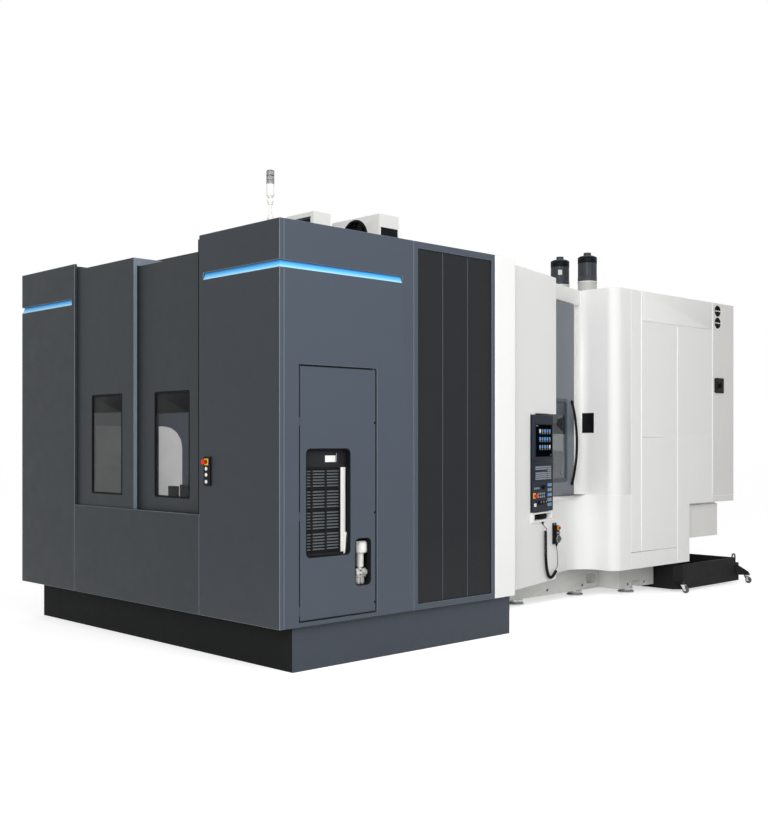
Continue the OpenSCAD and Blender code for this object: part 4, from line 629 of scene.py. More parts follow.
def spun(profile, steps):
    """Profile of radius and height turned round z: radius times cosine, radius times sine, height."""
    angle = np.linspace(0, 2 * np.pi, steps, endpoint=False)
    r, h = np.asarray(profile, float).T[:, :, None]
    return np.stack([r * np.cos(angle), r * np.sin(angle), h + 0 * angle], -1)


def turned(profile, steps=32):
    """Turned profile with a face over each end."""
    return capped(spun(profile, steps))


def rounded(half_u, half_v, corner, steps=5):
    """Rectangle with round corners: each corner's centre plus its radius times cosine and sine."""
    centre = np.array([[1, 1], [-1, 1], [-1, -1], [1, -1]]) * [half_u - corner, half_v - corner]
    angle = np.arange(4)[:, None] * np.pi / 2 + np.linspace(0, np.pi / 2, steps)
    return (centre[:, None] + corner * np.stack([np.cos(angle), np.sin(angle)], -1)).reshape(-1, 2)


def nested(half_u, half_v, corner, levels, steps=5):
    """Rounded rectangles drawn in by an inset at each height: the rings of a plate."""
    rings = [np.column_stack([rounded(half_u - i, half_v - i, max(corner - i, 1e-4), steps),
                              np.full(4 * steps, h)]) for i, h in levels]
    return np.array(rings)


def plate(half_u, half_v, corner, thick, edge=0.0012):
    """Plate with a small round on its upper edge."""
    return capped(nested(half_u, half_v, corner, [(0, 0), (0, thick - edge),
                                                  (edge * 0.3, thick - edge * 0.3), (edge, thick)]))


def frame_ring(half_u, half_v, corner, section):
    """Closed section of inset and height carried round a rounded rectangle."""
    rings = nested(half_u, half_v, corner, section)
    return rings.reshape(-1, 3), woven(len(section), rings.shape[1], close_rows=True)


def hoop(section, steps=32):
    """Closed section turned round z, open in the middle."""
    return spun(section, steps).reshape(-1, 3), woven(len(section), steps, close_rows=True)


def pierced(half_u, half_v, corner, bore, thick, edge=0.001):
    """Plate with a round hole: outer rings rise, the top runs in to the bore, bore rings go down."""
    outer = nested(half_u, half_v, corner, [(0, 0), (0, thick - edge), (edge, thick)])
    inner = nested(bore, bore, bore, [(0, thick), (0, 0)])
    return np.vstack([outer, inner]).reshape(-1, 3), woven(5, outer.shape[1], close_rows=True)


def hose(path, radius, sides=12, hint=(0.31, 0.17, 0.93)):
    """Circle carried along a path, square to it; the hint keeps the circles from twisting."""
    along = np.gradient(path, axis=0)
    along /= np.linalg.norm(along, axis=1, keepdims=True)
    across = np.cross(along, hint)
    across /= np.linalg.norm(across, axis=1, keepdims=True)
    over = np.cross(across, along)
    angle = np.linspace(0, 2 * np.pi, sides, endpoint=False)[None, :, None]
    radius = np.broadcast_to(radius, len(path))[:, None, None]
    ring = np.cos(angle) * across[:, None] + np.sin(angle) * over[:, None]
    return capped(path[:, None] + radius * ring)


def carried(section, path, outward):
    """Closed section of depth and height moved along a level path; depth follows each outward direction."""
    section, path, outward = (np.asarray(v, float) for v in (section, path, outward))
    return capped(path[:, None] + section[None, :, :1] * outward[:, None]
                  + section[None, :, 1:] * np.array([0, 0, 1.0]))


def joined(parts):
    """Several surfaces as one: points in a row, faces counted on."""
    offsets = np.cumsum([0] + [len(p) for p, _ in parts[:-1]])
    return (np.vstack([p for p, _ in parts]),
            [[int(i + o) for i in face] for (_, faces), o in zip(parts, offsets) for face in faces])


def copies(shape, side, places):
    """The same surface on one side of the machine at several places, joined."""
    return joined([seat(shape, side, place) for place in places])


def piece(name, part, body, slot, paint=None, smooth=38):
    """Mesh of a surface at its place, with outward faces and smooth shading up to an angle. Its finish has
    the slot's own name unless another is given."""
    points, faces = part
    mesh = bpy.data.meshes.new(name)
    mesh.from_pydata((points - [0, Y_MID, 0]).tolist(), [], faces)
    work = bmesh.new()
    work.from_mesh(mesh)
    bmesh.ops.remove_doubles(work, verts=work.verts, dist=1e-6)
    bmesh.ops.recalc_face_normals(work, faces=work.faces)
    work.to_mesh(mesh)
    work.free()
    mesh.shade_smooth()
    mesh.set_sharp_from_angle(angle=math.radians(smooth))
    mesh.materials.append(finish[paint or slot])
    obj = shown(name, mesh)
    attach(obj, body)
    return obj


print("a plate has", len(plate(0.1, 0.05, 0.01, 0.003)[1]), "faces")

# %% [markdown]
# A light bar runs round each front corner in a groove. It is a wedge of frosted acrylic, thick at its
# foot. Its section, with a hollowed face, is carried along the front, mitred at the corner and carried
# on along the side; at the mitre the outward direction is the sum of both faces' directions, which
# keeps the depth right.

# %% Light bars
BAR_DEPTH = 0.020
BAR_SIDE_L = 1.203
bow = np.linspace(0, 1, 9)
bar_section = np.vstack([np.column_stack([-0.003 - 0.0165 * bow ** 0.8, BAR_H * bow]),
                         [[-BAR_DEPTH, BAR_H]], [[-BAR_DEPTH, 0.0]]])


def light_bar(name, side, inner, foot, paint):
    """Bar section carried from the front's inner end round the corner and along the side."""
    path = [[inner, 0, foot], [side * HALF_W, 0, foot], [side * HALF_W, BAR_SIDE_L, foot]]
    return piece(name, carried(bar_section, path, [[0, -1, 0], [side, -1, 0], [side, 0, 0]]),
                 "machine_frame", "light", paint)


tower_bar = light_bar("tower_light_bar", 1, 1.019, TOWER_BAR_Z, "tower_glow")
column_bar = light_bar("column_light_bar", -1, -0.994, COLUMN_BAR_Z, "column_glow")
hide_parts("light_bars")
print("light bars:", tower_bar.name, column_bar.name)

# %% [markdown]
# Each window pane sits in a black rubber gasket, and the top of each pane is masked by a dark band. The
# gasket is a rounded bead carried round the opening. The band is a thin plate on the pane's outer face.
# A black strip in the rubber finish fills the gap between the doors and the tower, as painted shade.

# %% Gaskets and bands of the setup windows
PANE_INSET = 0.008
WINDOW = (0.241, 0.415)
WINDOW_MID_Z = 1.623
BAND_ROOM = 0.007
bead = [(-0.010, 0.0), (-0.010, 0.0006), (-0.008, 0.0012), (0.004, 0.0012), (0.006, 0.0004),
        (0.006, -0.007), (0.0, -0.007), (0.0, 0.0)]
window_places = {"left": (-0.440, 0.028, 0.070), "right": (0.478, 0.076, 0.079)}
for hand, (x, y, band) in window_places.items():
    body = "setup_door_" + hand
    piece(hand + "_window_gasket", seat(frame_ring(*WINDOW, 0.006, bead), FRONT, (x, y, WINDOW_MID_Z)),
          body, "rubber")
    piece(hand + "_window_band", seat(plate(WINDOW[0] - BAND_ROOM, band, 0.004, 0.0025), FRONT,
                                      (x, y + PANE_INSET, WINDOW_MID_Z + WINDOW[1] - BAND_ROOM - band)),
          body, "black_plastic")
# Painted shade: a black strip that darkens the gap between the doors and the tower.
piece("tower_gap_shade_strip", seat(plate(0.0075, 1.040, 0.002, 0.006), FRONT, (0.9575, 0.007, 2.140)),
      "machine_frame", "rubber")
print("setup windows:", list(window_places))

# %% [markdown]
# The operator door has a deeper window: a blue-grey frame, a masked band on top, which stays bare, and
# a darker film over the pane's upper part, painted shade for the darker view through the top of the
# window. The bow handle stands on two round feet.

# %% Frame, band and film of the operator window
OP_WINDOW = (0.280, 0.404)
OP_MID = (1.582, 1.656)
OP_FACE = 0.150
op_lip = [(-0.016, 0.0), (-0.016, 0.002), (-0.013, 0.004), (0.020, 0.004), (0.024, 0.002), (0.024, -0.007),
          (0.0, -0.007), (0.0, 0.0)]
OP_BAND = 0.073
OP_SHADE_FILM = 0.097


def op_plate(name, half_v, top, lift, slot, paint):
    """Plate across the operator window, its top at a height, lifted off the pane."""
    return piece(name, seat(plate(OP_WINDOW[0] - 0.025, half_v, 0.004, 0.002), WALL,
                            on_wall(OP_MID[0], OP_FACE + PANE_INSET - lift, top - half_v)),
                 "operator_door", slot, paint)


piece("operator_window_frame", seat(frame_ring(*OP_WINDOW, 0.006, op_lip), WALL,
                                    on_wall(OP_MID[0], OP_FACE, OP_MID[1])),
      "operator_door", "console_plastic", "console_trim_and_highlight")
op_top = OP_MID[1] + OP_WINDOW[1] - 0.002
op_plate("operator_window_band", OP_BAND, op_top, 0.0, "console_plastic", "console_trim_and_highlight")
# The film is painted shade over the pane's upper part.
op_plate("operator_window_shade_film", OP_SHADE_FILM, op_top - 2 * OP_BAND, 0.0, "pane", "upper_shade_film")
for end, z in (("low", 1.215), ("high", 2.045)):
    foot = turned([(0.021, 0.0), (0.021, 0.003), (0.019, 0.005), (0.016, 0.006)])
    piece("handle_foot_" + end, seat(foot, WALL, on_wall(1.992, OP_FACE, z)), "operator_door",
          "black_paint", "black")
print("operator window band and film:", 2 * OP_BAND, 2 * OP_SHADE_FILM, "m high")

# %% [markdown]
# The console is a flat housing in three parts: a touch screen, a keyboard and an operation panel. On
# its dark picture the screen shows rows of plain tiles. The keyboard is two plates that stand proud of
# the housing. Keys are many and small, so one key is a plate with few faces, and whole rows of it are
# joined into one mesh.

# %% Console screen and keys
CONSOLE_FACE = -0.022
SCREEN_FACE = CONSOLE_FACE + 0.001
KEY_PLATE = 0.0052
KEY_FACE = CONSOLE_FACE - KEY_PLATE
SCREEN, SCREEN_S, SCREEN_Z = (0.191, 0.150), 0.873, 1.653
TILE_S, TILE_Z, TILE_STEP_S, TILE_STEP_Z = 0.786, 1.596, 0.057, 0.0735
KEY_S, KEY_Z, KEY_STEP_S, KEY_STEP_Z = 0.679, 1.300, 0.030, 0.0183
PAD_GAP, PAD_COLUMN, BAR_ROW = 0.008, 8, 4
SIDE_KEY_S, SIDE_KEY_Z, SIDE_STEP_S, SIDE_STEP_Z = 0.976, 1.055, 0.050, 0.046


def panel_parts(shape, spots, face):
    """The same small surface at several places of the console's face, joined."""
    return copies(shape, WALL, [on_wall(s, face, z) for s, z in spots])


tile_s = TILE_S + TILE_STEP_S * np.arange(5)
tile_z = TILE_Z + TILE_STEP_Z * np.arange(3)
tile_at = [(s, z) for z in tile_z for s in tile_s]
white_tiles = [tile_at[10], tile_at[4]]
grey_tiles = [tile_at[i] for i in (1, 3, 6, 9, 11, 13)]
blue_tiles = [spot for spot in tile_at if spot not in white_tiles + grey_tiles]
tile = plate(0.017, 0.016, 0.003, 0.0006, 0.0002)
label = plate(0.014, 0.004, 0.001, 0.0006, 0.0002)
labels = [(s, z - 0.025) for s, z in tile_at] + [(0.705, 1.789), (0.730, 1.789), (1.040, 1.520)]
for tint, part in (("blue", panel_parts(tile, blue_tiles, SCREEN_FACE)),
                   ("white", panel_parts(tile, white_tiles, SCREEN_FACE)),
                   ("grey", joined([panel_parts(tile, grey_tiles, SCREEN_FACE),
                                    panel_parts(label, labels, SCREEN_FACE)]))):
    piece("screen_tiles_" + tint, part, "console", "screen", "icon_" + tint)
bezel = [(-0.012, 0.0), (-0.012, 0.002), (-0.010, 0.003), (-0.001, 0.003), (0.001, 0.001), (0.001, -0.004),
         (0.0, -0.004), (0.0, 0.0)]
screen_rim = frame_ring(*SCREEN, 0.004, bezel)
piece("screen_bezel", seat(screen_rim, WALL, on_wall(SCREEN_S, CONSOLE_FACE, SCREEN_Z)),
      "console", "console_plastic", "console")
key_plates = [seat(plate(0.2325, half, 0.003, KEY_PLATE), WALL, on_wall(0.853, CONSOLE_FACE, z))
              for half, z in ((0.0825, 1.3595), (0.0205, 1.4665))]
piece("keyboard_plates", joined(key_plates), "console", "console_plastic", "console")
key_spots = [(KEY_S + KEY_STEP_S * col + PAD_GAP * (col > PAD_COLUMN), KEY_Z + KEY_STEP_Z * row)
             for row in range(7) for col in range(12) if row != BAR_ROW or col > PAD_COLUMN]
key_cap = capped(nested(0.0122, 0.0066, 0.002, [(0, 0), (0.0005, 0.0016), (0.002, 0.0024)], steps=2))
piece("keyboard_caps", panel_parts(key_cap, key_spots, KEY_FACE), "console", "white_plastic", "key")
side_keys = [(SIDE_KEY_S + SIDE_STEP_S * col, SIDE_KEY_Z + SIDE_STEP_Z * row)
             for row in range(5) for col in range(2)]
lit_keys = [side_keys[i] for i in (1, 4, 8)]
side_cap = capped(nested(0.0185, 0.0155, 0.004, [(0, 0), (0.0008, 0.0055), (0.003, 0.0068)], steps=2))
piece("panel_keys", panel_parts(side_cap, [k for k in side_keys if k not in lit_keys], CONSOLE_FACE),
      "console", "white_plastic", "key")
piece("panel_keys_lit", panel_parts(side_cap, lit_keys, CONSOLE_FACE), "console", "light", "icon_blue")
# Painted shade: a black strip at the top of the console's recess, where the gap above it is shaded.
piece("console_gap", seat(plate(0.236, 0.007, 0.001, 0.004), WALL, on_wall(0.852, 0.030, 1.8975)),
      "machine_frame", "black_paint", "black")
print("keys:", len(key_spots) + len(side_keys), "tiles:", len(tile_at))

# %% [markdown]
# Stop buttons sit on yellow plates, so that they stand out. Rotary switches have a skirt and a grip.
# Both are turned shapes; the plates are rounded rectangles.

# %% Stop plates, switches and small keys
SWITCH_Z, GRIP_H = 1.080, 0.0230
SMALL_STEP = 0.045
stop_collar = hoop([(0.0135, 0.0), (0.0135, 0.005), (0.015, 0.006), (0.0195, 0.006), (0.021, 0.005),
                    (0.021, 0.0)])
piece("console_stop_plate",
      seat(joined([pierced(0.026, 0.026, 0.004, 0.0125, 0.003), stop_collar]), WALL,
           on_wall(0.652, CONSOLE_FACE, 1.148)), "console", "red_plastic", "yellow")
grip = turned([(0.020, 0.0), (0.020, 0.004), (0.0185, 0.006), (0.0175, 0.0205), (0.0155, 0.0225),
               (0.004, GRIP_H)], 24)
switch_s = 0.758 + 0.060 * np.arange(3)
piece("rotary_switches", panel_parts(grip, [(s, SWITCH_Z) for s in switch_s], CONSOLE_FACE),
      "console", "black_plastic")
pointer = plate(0.002, 0.008, 0.001, 0.0012, 0.0004)
piece("rotary_pointers", panel_parts(pointer, [(s, SWITCH_Z + 0.008) for s in switch_s],
                                     CONSOLE_FACE - GRIP_H + 0.0002), "console", "white_plastic")
small_keys = [(0.740 + SMALL_STEP * i, z) for z in (1.135, 1.163) for i in range(4)] \
    + [(0.660 + SMALL_STEP * i, 1.215) for i in range(3)]
small_cap = capped(nested(0.012, 0.009, 0.003, [(0, 0), (0.0006, 0.003), (0.002, 0.004)], 2))
piece("small_keys", panel_parts(small_cap, small_keys, CONSOLE_FACE), "console", "white_plastic", "key")
piece("blank_plate", seat(plate(0.026, 0.016, 0.003, 0.0015), WALL, on_wall(0.674, CONSOLE_FACE, 1.063)),
      "console", "white_plastic")
print("operation panel:", len(small_keys) + 3, "fittings")

# %% [markdown]
# Black cables drop from the console into the open tray below it. They are fixed runs, each a circle
# carried along a short bowed path between two glands.

# %% Cables in the tray
def bowed(start, stop, sag, count=18):
    """Straight run between two points plus a half sine of sag, which is zero at both ends."""
    t = np.linspace(0, 1, count)[:, None]
    return np.asarray(start) * (1 - t) + np.asarray(stop) * t + np.sin(np.pi * t) * np.asarray(sag)


cable_rows = [(0.700, 0.690, 0.007), (0.752, 0.760, 0.011), (0.786, 0.790, 0.008), (0.868, 0.866, 0.021),
              (0.914, 0.912, 0.021), (0.952, 0.950, 0.012), (0.988, 0.986, 0.014)]
piece("tray_cables", joined([hose(bowed(on_wall(s, 0.045, 0.979), on_wall(t, 0.036, 0.921),
                                        0.030 * WALL[2]), r) for s, t, r in cable_rows]),
      "machine_frame", "rubber")
gland = turned([(0.011, 0.0), (0.011, 0.008), (0.007, 0.020), (0.0045, 0.028)], 20)
piece("cord_gland", seat(gland, UNDER, on_wall(0.874, -0.011, 0.901)), "machine_frame", "black_plastic")
print("tray cables:", len(cable_rows))

# %% [markdown]
# The pendant has a stop button on a yellow ring, a handwheel with a scale ring and two selector knobs.

# %% Pendant fittings
PENDANT_FACE = -0.044
PENDANT_S = 1.165
piece("pendant_stop_ring", seat(stop_collar, WALL, on_wall(PENDANT_S, PENDANT_FACE, 0.824)),
      "machine_frame", "red_plastic", "yellow")
piece("pendant_scale_ring",
      seat(hoop([(0.0305, 0.0), (0.0305, 0.002), (0.0335, 0.002), (0.0335, 0.0)]), WALL,
           on_wall(PENDANT_S, PENDANT_FACE, 0.720)), "machine_frame", "white_plastic")
knob = turned([(0.010, 0.0), (0.010, 0.008), (0.0085, 0.011), (0.003, 0.0115)], 20)
piece("pendant_selectors", panel_parts(knob, [(1.147, 0.776), (1.183, 0.776)], PENDANT_FACE),
      "machine_frame", "black_plastic", "key")

# %% [markdown]
# The setup station has its own small button box on the tower's front. Its stop button gets a yellow
# plate, and each push button a bright bezel that the button slides through.

# %% Setup box collars
BOX_FACE = -0.014
setup_x = 1.079
setup_z = [1.442, 1.396, 1.344]
piece("setup_stop_plate", seat(pierced(0.026, 0.025, 0.004, 0.0165, 0.003), FRONT,
                               (setup_x, BOX_FACE, 1.493)), "machine_frame", "red_plastic", "yellow")
push_bezel = hoop([(0.0115, 0.0), (0.0115, 0.002), (0.0125, 0.003), (0.0145, 0.003), (0.0155, 0.0015),
                   (0.0155, 0.0)])
piece("setup_bezels", copies(push_bezel, FRONT, [(setup_x, BOX_FACE, z) for z in setup_z]),
      "machine_frame", "steel", "bright_steel")
print("setup box: 1 plate,", len(setup_z), "bezels")

# %% [markdown]
# The access door in the tower's side has two cut-outs edged with a rubber trim and three slotted
# latches. Its gap is painted shade: a thin dark line round the door's face along its edge, and a dark
# plate just behind each edge of the door, so that no light comes through.

# %% Access door
DOOR_FACE = HALF_W - 0.006
CUT_CORNER = 0.034
TRIM_DEPTH = 0.0335
GAP_SHADE_HALF, GAP_SHADE_THICK = 0.014, 0.004
door_lo, door_hi = (np.array(corner) + [0, Y_MID, 0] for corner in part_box("access_door"))
door_mid = (door_lo + door_hi) / 2
door_half = (door_hi - door_lo) / 2
trim = [(-0.004, 0.0), (-0.004, 0.0015), (-0.002, 0.0025), (0.001, 0.0025), (0.0025, 0.001),
        (0.0025, -TRIM_DEPTH), (0.0, -TRIM_DEPTH), (0.0, 0.0)]
piece("access_trims",
      joined([seat(frame_ring(0.209, 0.3875, CUT_CORNER, trim), SIDE, (DOOR_FACE, 0.458, 1.2045)),
              seat(frame_ring(0.0765, 0.1725, CUT_CORNER, trim), SIDE, (DOOR_FACE, 0.7985, 0.7505))]),
      "access_door", "rubber")
latch = joined([turned([(0.0095, 0.0), (0.0095, 0.0012), (0.008, 0.002), (0.002, 0.0021)], 20),
                seat(plate(0.0012, 0.006, 0.0005, 0.0012, 0.0003), np.eye(3), (0, 0, 0.0019))])
piece("access_latches", copies(latch, SIDE, [(DOOR_FACE + 0.004, 0.912, z) for z in (0.440, 1.114, 1.787)]),
      "access_door", "black_paint", "black")
# Painted shade: a thin dark line along the door's edge stands in for its gap.
edge = frame_ring(*door_half[1:], 0.003, [(0.0, 0.0), (0.0, 0.0006), (0.001, 0.001), (0.007, 0.001),
                                          (0.008, 0.0)])
piece("access_gap_shade_line", seat(edge, SIDE, (DOOR_FACE, *door_mid[1:])), "access_door", "rubber")
# Painted shade: dark plates just behind the door's gap.
GAP_SHADE_X = door_lo[0] - 0.006
edge_gap_shade = plate(GAP_SHADE_HALF, door_half[2], 0.002, GAP_SHADE_THICK)
top_gap_shade = plate(door_half[1], GAP_SHADE_HALF, 0.002, GAP_SHADE_THICK)
gap_shade_plates = [seat(edge_gap_shade, SIDE, (GAP_SHADE_X, y, door_mid[2])) for y in (door_lo[1], door_hi[1])]
gap_shade_plates += [seat(top_gap_shade, SIDE, (GAP_SHADE_X, door_mid[1], door_hi[2]))]
piece("access_gap_shade_plates", joined(gap_shade_plates), "machine_frame", "rubber")
print("access door %.2f by %.2f m" % tuple(2 * door_half[1:]))

# %% [markdown]
# Behind the large cut-out is the oil cooler's louvre grille. The slats are sheet strips that lean back
# at the top, so that each catches the light above a dark gap. One slat is a plate on a leaning side,
# whose upward direction is turned inwards; columns, rows and slats are then three sums of pitches.

# %% Louvre grille of the oil cooler
COOLER_FACE = 1.880
COOLER_Y, COOLER_HALF = 0.4205, 0.2655
HEADER_THICK = 0.004
HEADER_FACE = COOLER_FACE + HEADER_THICK
GRILLE_Y = 0.403
BAR_Y = (0.336, 0.4695, 0.603)
RAIL_Z = np.array([0.845, 0.996, 1.150, 1.303, 1.451])
LEAN = math.radians(38)
LEANING = np.array([[0, 1, 0], [-math.sin(LEAN), 0, math.cos(LEAN)], [math.cos(LEAN), 0, math.sin(LEAN)]])
SLATS = 6
slat = plate(0.0585, 0.0062, 0.001, 0.0018, 0.0005)
RAIL_ROOM = 0.010
slat_step = (np.diff(RAIL_Z)[:, None] - 2 * RAIL_ROOM) / SLATS
slat_z = (RAIL_Z[:-1, None] + RAIL_ROOM + slat_step * (np.arange(SLATS) + 0.5)).ravel()
slat_y = np.array(BAR_Y) - 0.0668
piece("cooler_front", seat(plate(COOLER_HALF, 0.412, 0.004, 0.0015), SIDE, (COOLER_FACE, COOLER_Y, 1.210)),
      "machine_frame", "black_paint", "black")
piece("grille_slats", copies(slat, LEANING, [(COOLER_FACE + 0.006, y, z) for y in slat_y for z in slat_z]),
      "machine_frame", "steel", "slat")
bars = [seat(plate(0.0085, 0.303, 0.002, 0.011), SIDE, (COOLER_FACE, y, 1.148)) for y in BAR_Y]
rails = [seat(plate(0.2085, 0.0055, 0.002, 0.0105), SIDE, (COOLER_FACE, GRILLE_Y, z)) for z in RAIL_Z]
piece("grille_rails", joined(bars + rails), "machine_frame", "black_paint", "black")
header = [seat(plate(COOLER_HALF, half, 0.003, HEADER_THICK), SIDE, (COOLER_FACE, COOLER_Y, z))
          for half, z in ((0.081, 1.539), (0.020, 0.818))]
piece("cooler_header", joined(header), "machine_frame", "black_paint", "panel")
piece("cooler_plate", seat(plate(0.0505, 0.024, 0.003, 0.0015), SIDE, (HEADER_FACE, 0.5175, 1.520)),
      "machine_frame", "white_plastic")
piece("header_strip", seat(plate(0.002, 0.0325, 0.0008, 0.002), SIDE, (HEADER_FACE, 0.577, 1.5285)),
      "machine_frame", "steel")
print("slats:", len(slat_y) * len(slat_z))

# %% [markdown]
# Beside the grille stand the air unit's flat white riser and a loop of corrugated tube. A corrugated
# tube is a hose whose radius rises and falls with the run.

# %% Riser and corrugated tube
RISER_FACE, RISER_Y, RISER_Z = COOLER_FACE + 0.0015, 0.639, 1.145
TUBE_R, TUBE_WAVE, TUBE_PITCH = 0.0052, 0.0006, 0.006
riser = [seat(plate(0.024, 0.311, 0.003, 0.006), SIDE, (RISER_FACE, RISER_Y, RISER_Z))]
riser += [seat(plate(0.029, 0.006, 0.002, 0.004), SIDE, (RISER_FACE, RISER_Y - 0.003, z))
          for z in (0.962, 1.208)]
piece("air_riser", joined(riser), "machine_frame", "white_plastic", "cabinet")
tube_knots = np.array([[1.872, 0.650, 0.806], [1.889, 0.650, 0.824], [1.8935, 0.652, 0.870],
                       [1.8935, 0.656, 0.950], [1.8935, 0.665, 0.972], [1.8935, 0.674, 0.950],
                       [1.8935, 0.677, 0.870], [1.889, 0.679, 0.824], [1.872, 0.679, 0.806]])
tube_path, tube_run = through(tube_knots, 0.0012)
piece("corrugated_tube", hose(tube_path, TUBE_R + TUBE_WAVE * np.sin(tube_run * 2 * np.pi / TUBE_PITCH), 14,
                              hint=(1.0, 0.05, 0.03)), "machine_frame", "white_plastic")
print("corrugated tube %.2f m" % tube_run[-1])

# %% [markdown]
# The small cut-out shows the air unit on a black plate: a drum on a neck over a valve block with two
# white knobs, a gauge and three filter cups, from which thin black hoses leave. Drum and neck are one
# turned profile.

# %% Air unit
AIR_FACE, AIR_Y, AIR_Z = 1.782, 0.853, 0.655
TRAY_HALF, TRAY_Z = 0.2325, 0.7505
BLOCK_DEPTH = 0.062
BLOCK_FACE = AIR_FACE + BLOCK_DEPTH
CUP_DY = (-0.042, 0.0, 0.042)
# The black plate is the unit's dark backing, and above the drum it is also painted shadow of the door's
# edge.
tray = [seat(plate(0.1125, TRAY_HALF, 0.006, 0.012), SIDE, (AIR_FACE - 0.012, 0.8035, TRAY_Z)),
        seat(plate(0.0555, TRAY_HALF, 0.006, 0.004), FRONT, (AIR_FACE + 0.056, 0.916, TRAY_Z))]
piece("air_plate", joined(tray), "machine_frame", "black_paint", "black")
drum = turned([(0.016, 0.0), (0.016, 0.012), (0.028, 0.018), (0.028, 0.112), (0.032, 0.114), (0.032, 0.121),
               (0.050, 0.124), (0.056, 0.131), (0.057, 0.142), (0.057, 0.190), (0.053, 0.203),
               (0.040, 0.210)], 40)
air_drum = piece("air_drum", seat(drum, TOP, (AIR_FACE + 0.058, AIR_Y, AIR_Z + 0.030)),
                 "machine_frame", "white_plastic")
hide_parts("air_service_unit")
blocks = [seat(plate(0.018, 0.040, 0.003, 0.034), SIDE, (AIR_FACE, AIR_Y, 0.750)),
          seat(plate(0.060, 0.032, 0.005, BLOCK_DEPTH), SIDE, (AIR_FACE, AIR_Y, AIR_Z))]
knob = turned([(0.019, 0.0), (0.019, 0.020), (0.0175, 0.0225), (0.009, 0.0225), (0.008, 0.020)], 24)
cup = turned([(0.012, 0.0), (0.017, 0.006), (0.018, 0.012), (0.018, 0.050), (0.015, 0.056)], 24)
blocks += [seat(knob, SIDE, (BLOCK_FACE, AIR_Y + dy, AIR_Z + 0.006)) for dy in (-0.040, 0.040)]
blocks += [seat(cup, TOP, (AIR_FACE + 0.036, AIR_Y + dy, AIR_Z - 0.087)) for dy in CUP_DY]
piece("air_valve_block", joined(blocks), "machine_frame", "white_plastic")
gauge = turned([(0.017, 0.0), (0.017, 0.012), (0.0155, 0.0135), (0.0145, 0.0135), (0.0140, 0.0125)], 28)
piece("air_gauge", seat(gauge, SIDE, (BLOCK_FACE, AIR_Y, AIR_Z + 0.004)), "machine_frame", "black_plastic")
piece("air_gauge_face", seat(turned([(0.0138, 0.0), (0.0138, 0.0004)], 28), SIDE,
                             (BLOCK_FACE + 0.0125, AIR_Y, AIR_Z + 0.004)),
      "machine_frame", "white_plastic")
air_hoses = [hose(bowed((AIR_FACE + 0.036, AIR_Y + dy, AIR_Z - 0.082),
                        (AIR_FACE + 0.016, AIR_Y + 0.6 * dy, AIR_Z - 0.28), (0.012, 0.010, 0)), 0.006, 10,
                  hint=(0.9, 0.4, 0.1)) for dy in CUP_DY]
piece("air_hoses", joined(air_hoses), "machine_frame", "rubber")
print("air hoses:", len(air_hoses))

# %% [markdown]
# The rear covers meet in rounded seams that shine as bright lines, because the sheet turns in towards
# the joint. A slim half-round strip over each upright seam gives the same line, in the lighter edge
# paint, which is a painted highlight; the level seams stay grooves. Along the top one panel runs over
# the middle seam. The dark panels of the setup station have two seams of the same kind, one pitch apart,
# whose strips take the lighter side graphite as a painted highlight.

# %% Seam strips of the rear covers
REAR_X = 1.520
PANELS_Y, PANEL_PITCH = 1.379, 0.2967
PANEL_FACE = HALF_W - 0.012


def strip(half_u, half_v, rise):
    """Half-round strip: rounded rectangles that draw in as a quarter sine lifts them."""
    t = np.linspace(0, 1, 5)
    return capped(nested(half_u, half_v, half_u * 0.9, list(zip(half_u * 0.85 * (1 - np.cos(t * np.pi / 2)),
                                                                rise * np.sin(t * np.pi / 2)))))


seam_rows = [(5.133, 0.510, 3.205), (5.827, 0.348, 2.880), (6.556, 1.044, 3.205)]
rear_strips = [seat(strip(0.012, (top - foot) / 2, 0.004), SIDE, (REAR_X, y, (top + foot) / 2))
               for y, foot, top in seam_rows]
# Painted highlight: the seam strips take the lighter edge white.
piece("rear_seam_strips", joined(rear_strips), "machine_frame", "white_paint", "white_edge_highlight")
side_seams = [PANELS_Y + i * PANEL_PITCH - 0.003 for i in (1, 2)]
panel_strip = strip(0.0035, 1.391, 0.0015)
# Painted highlight: the panel seams take the lighter side graphite.
piece("panel_seams", copies(panel_strip, SIDE, [(PANEL_FACE, y, 1.766) for y in side_seams]),
      "machine_frame", "panel_paint", "lit_side_graphite")
piece("rear_top_panel", seat(plate(0.690, 0.150, 0.004, 0.0012), SIDE, (REAR_X, 5.845, 3.054)),
      "machine_frame", "white_paint", "rear_white")
print("seam strips:", len(seam_rows) + len(side_seams))

# %% [markdown]
# The control cabinet's side carries the main switch on a black plate and two round vents. A vent is a
# black bezel with slats in front of a dark filter, and a pale level bar splits it.

# %% Main switch plate and vents
SWITCH = (6.685, 2.277)
SWITCH_THICK = 0.0138
piece("switch_plate", seat(pierced(0.0955, 0.0855, 0.008, 0.0335, SWITCH_THICK), SIDE, (REAR_X, *SWITCH)),
      "machine_frame", "black_plastic")
piece("switch_ring", seat(hoop([(0.036, 0.0), (0.036, 0.0012), (0.047, 0.0012), (0.047, 0.0)]), SIDE,
                          (REAR_X + SWITCH_THICK, *SWITCH)), "machine_frame", "black_plastic", "panel")
VENT_R = 0.061
vent_at = [(REAR_X, 6.664, z) for z in (2.986, 3.121)]
vent_in = VENT_R - 0.010
vent_ring = hoop([(vent_in, -0.010), (vent_in, 0.002), (vent_in + 0.003, 0.0035), (VENT_R - 0.001, 0.0035),
                  (VENT_R + 0.002, 0.0015), (VENT_R + 0.002, 0.0)])
vent_filter = seat(turned([(VENT_R - 0.001, 0.0), (VENT_R - 0.001, 0.001)], 32), np.eye(3), (0, 0, -0.022))
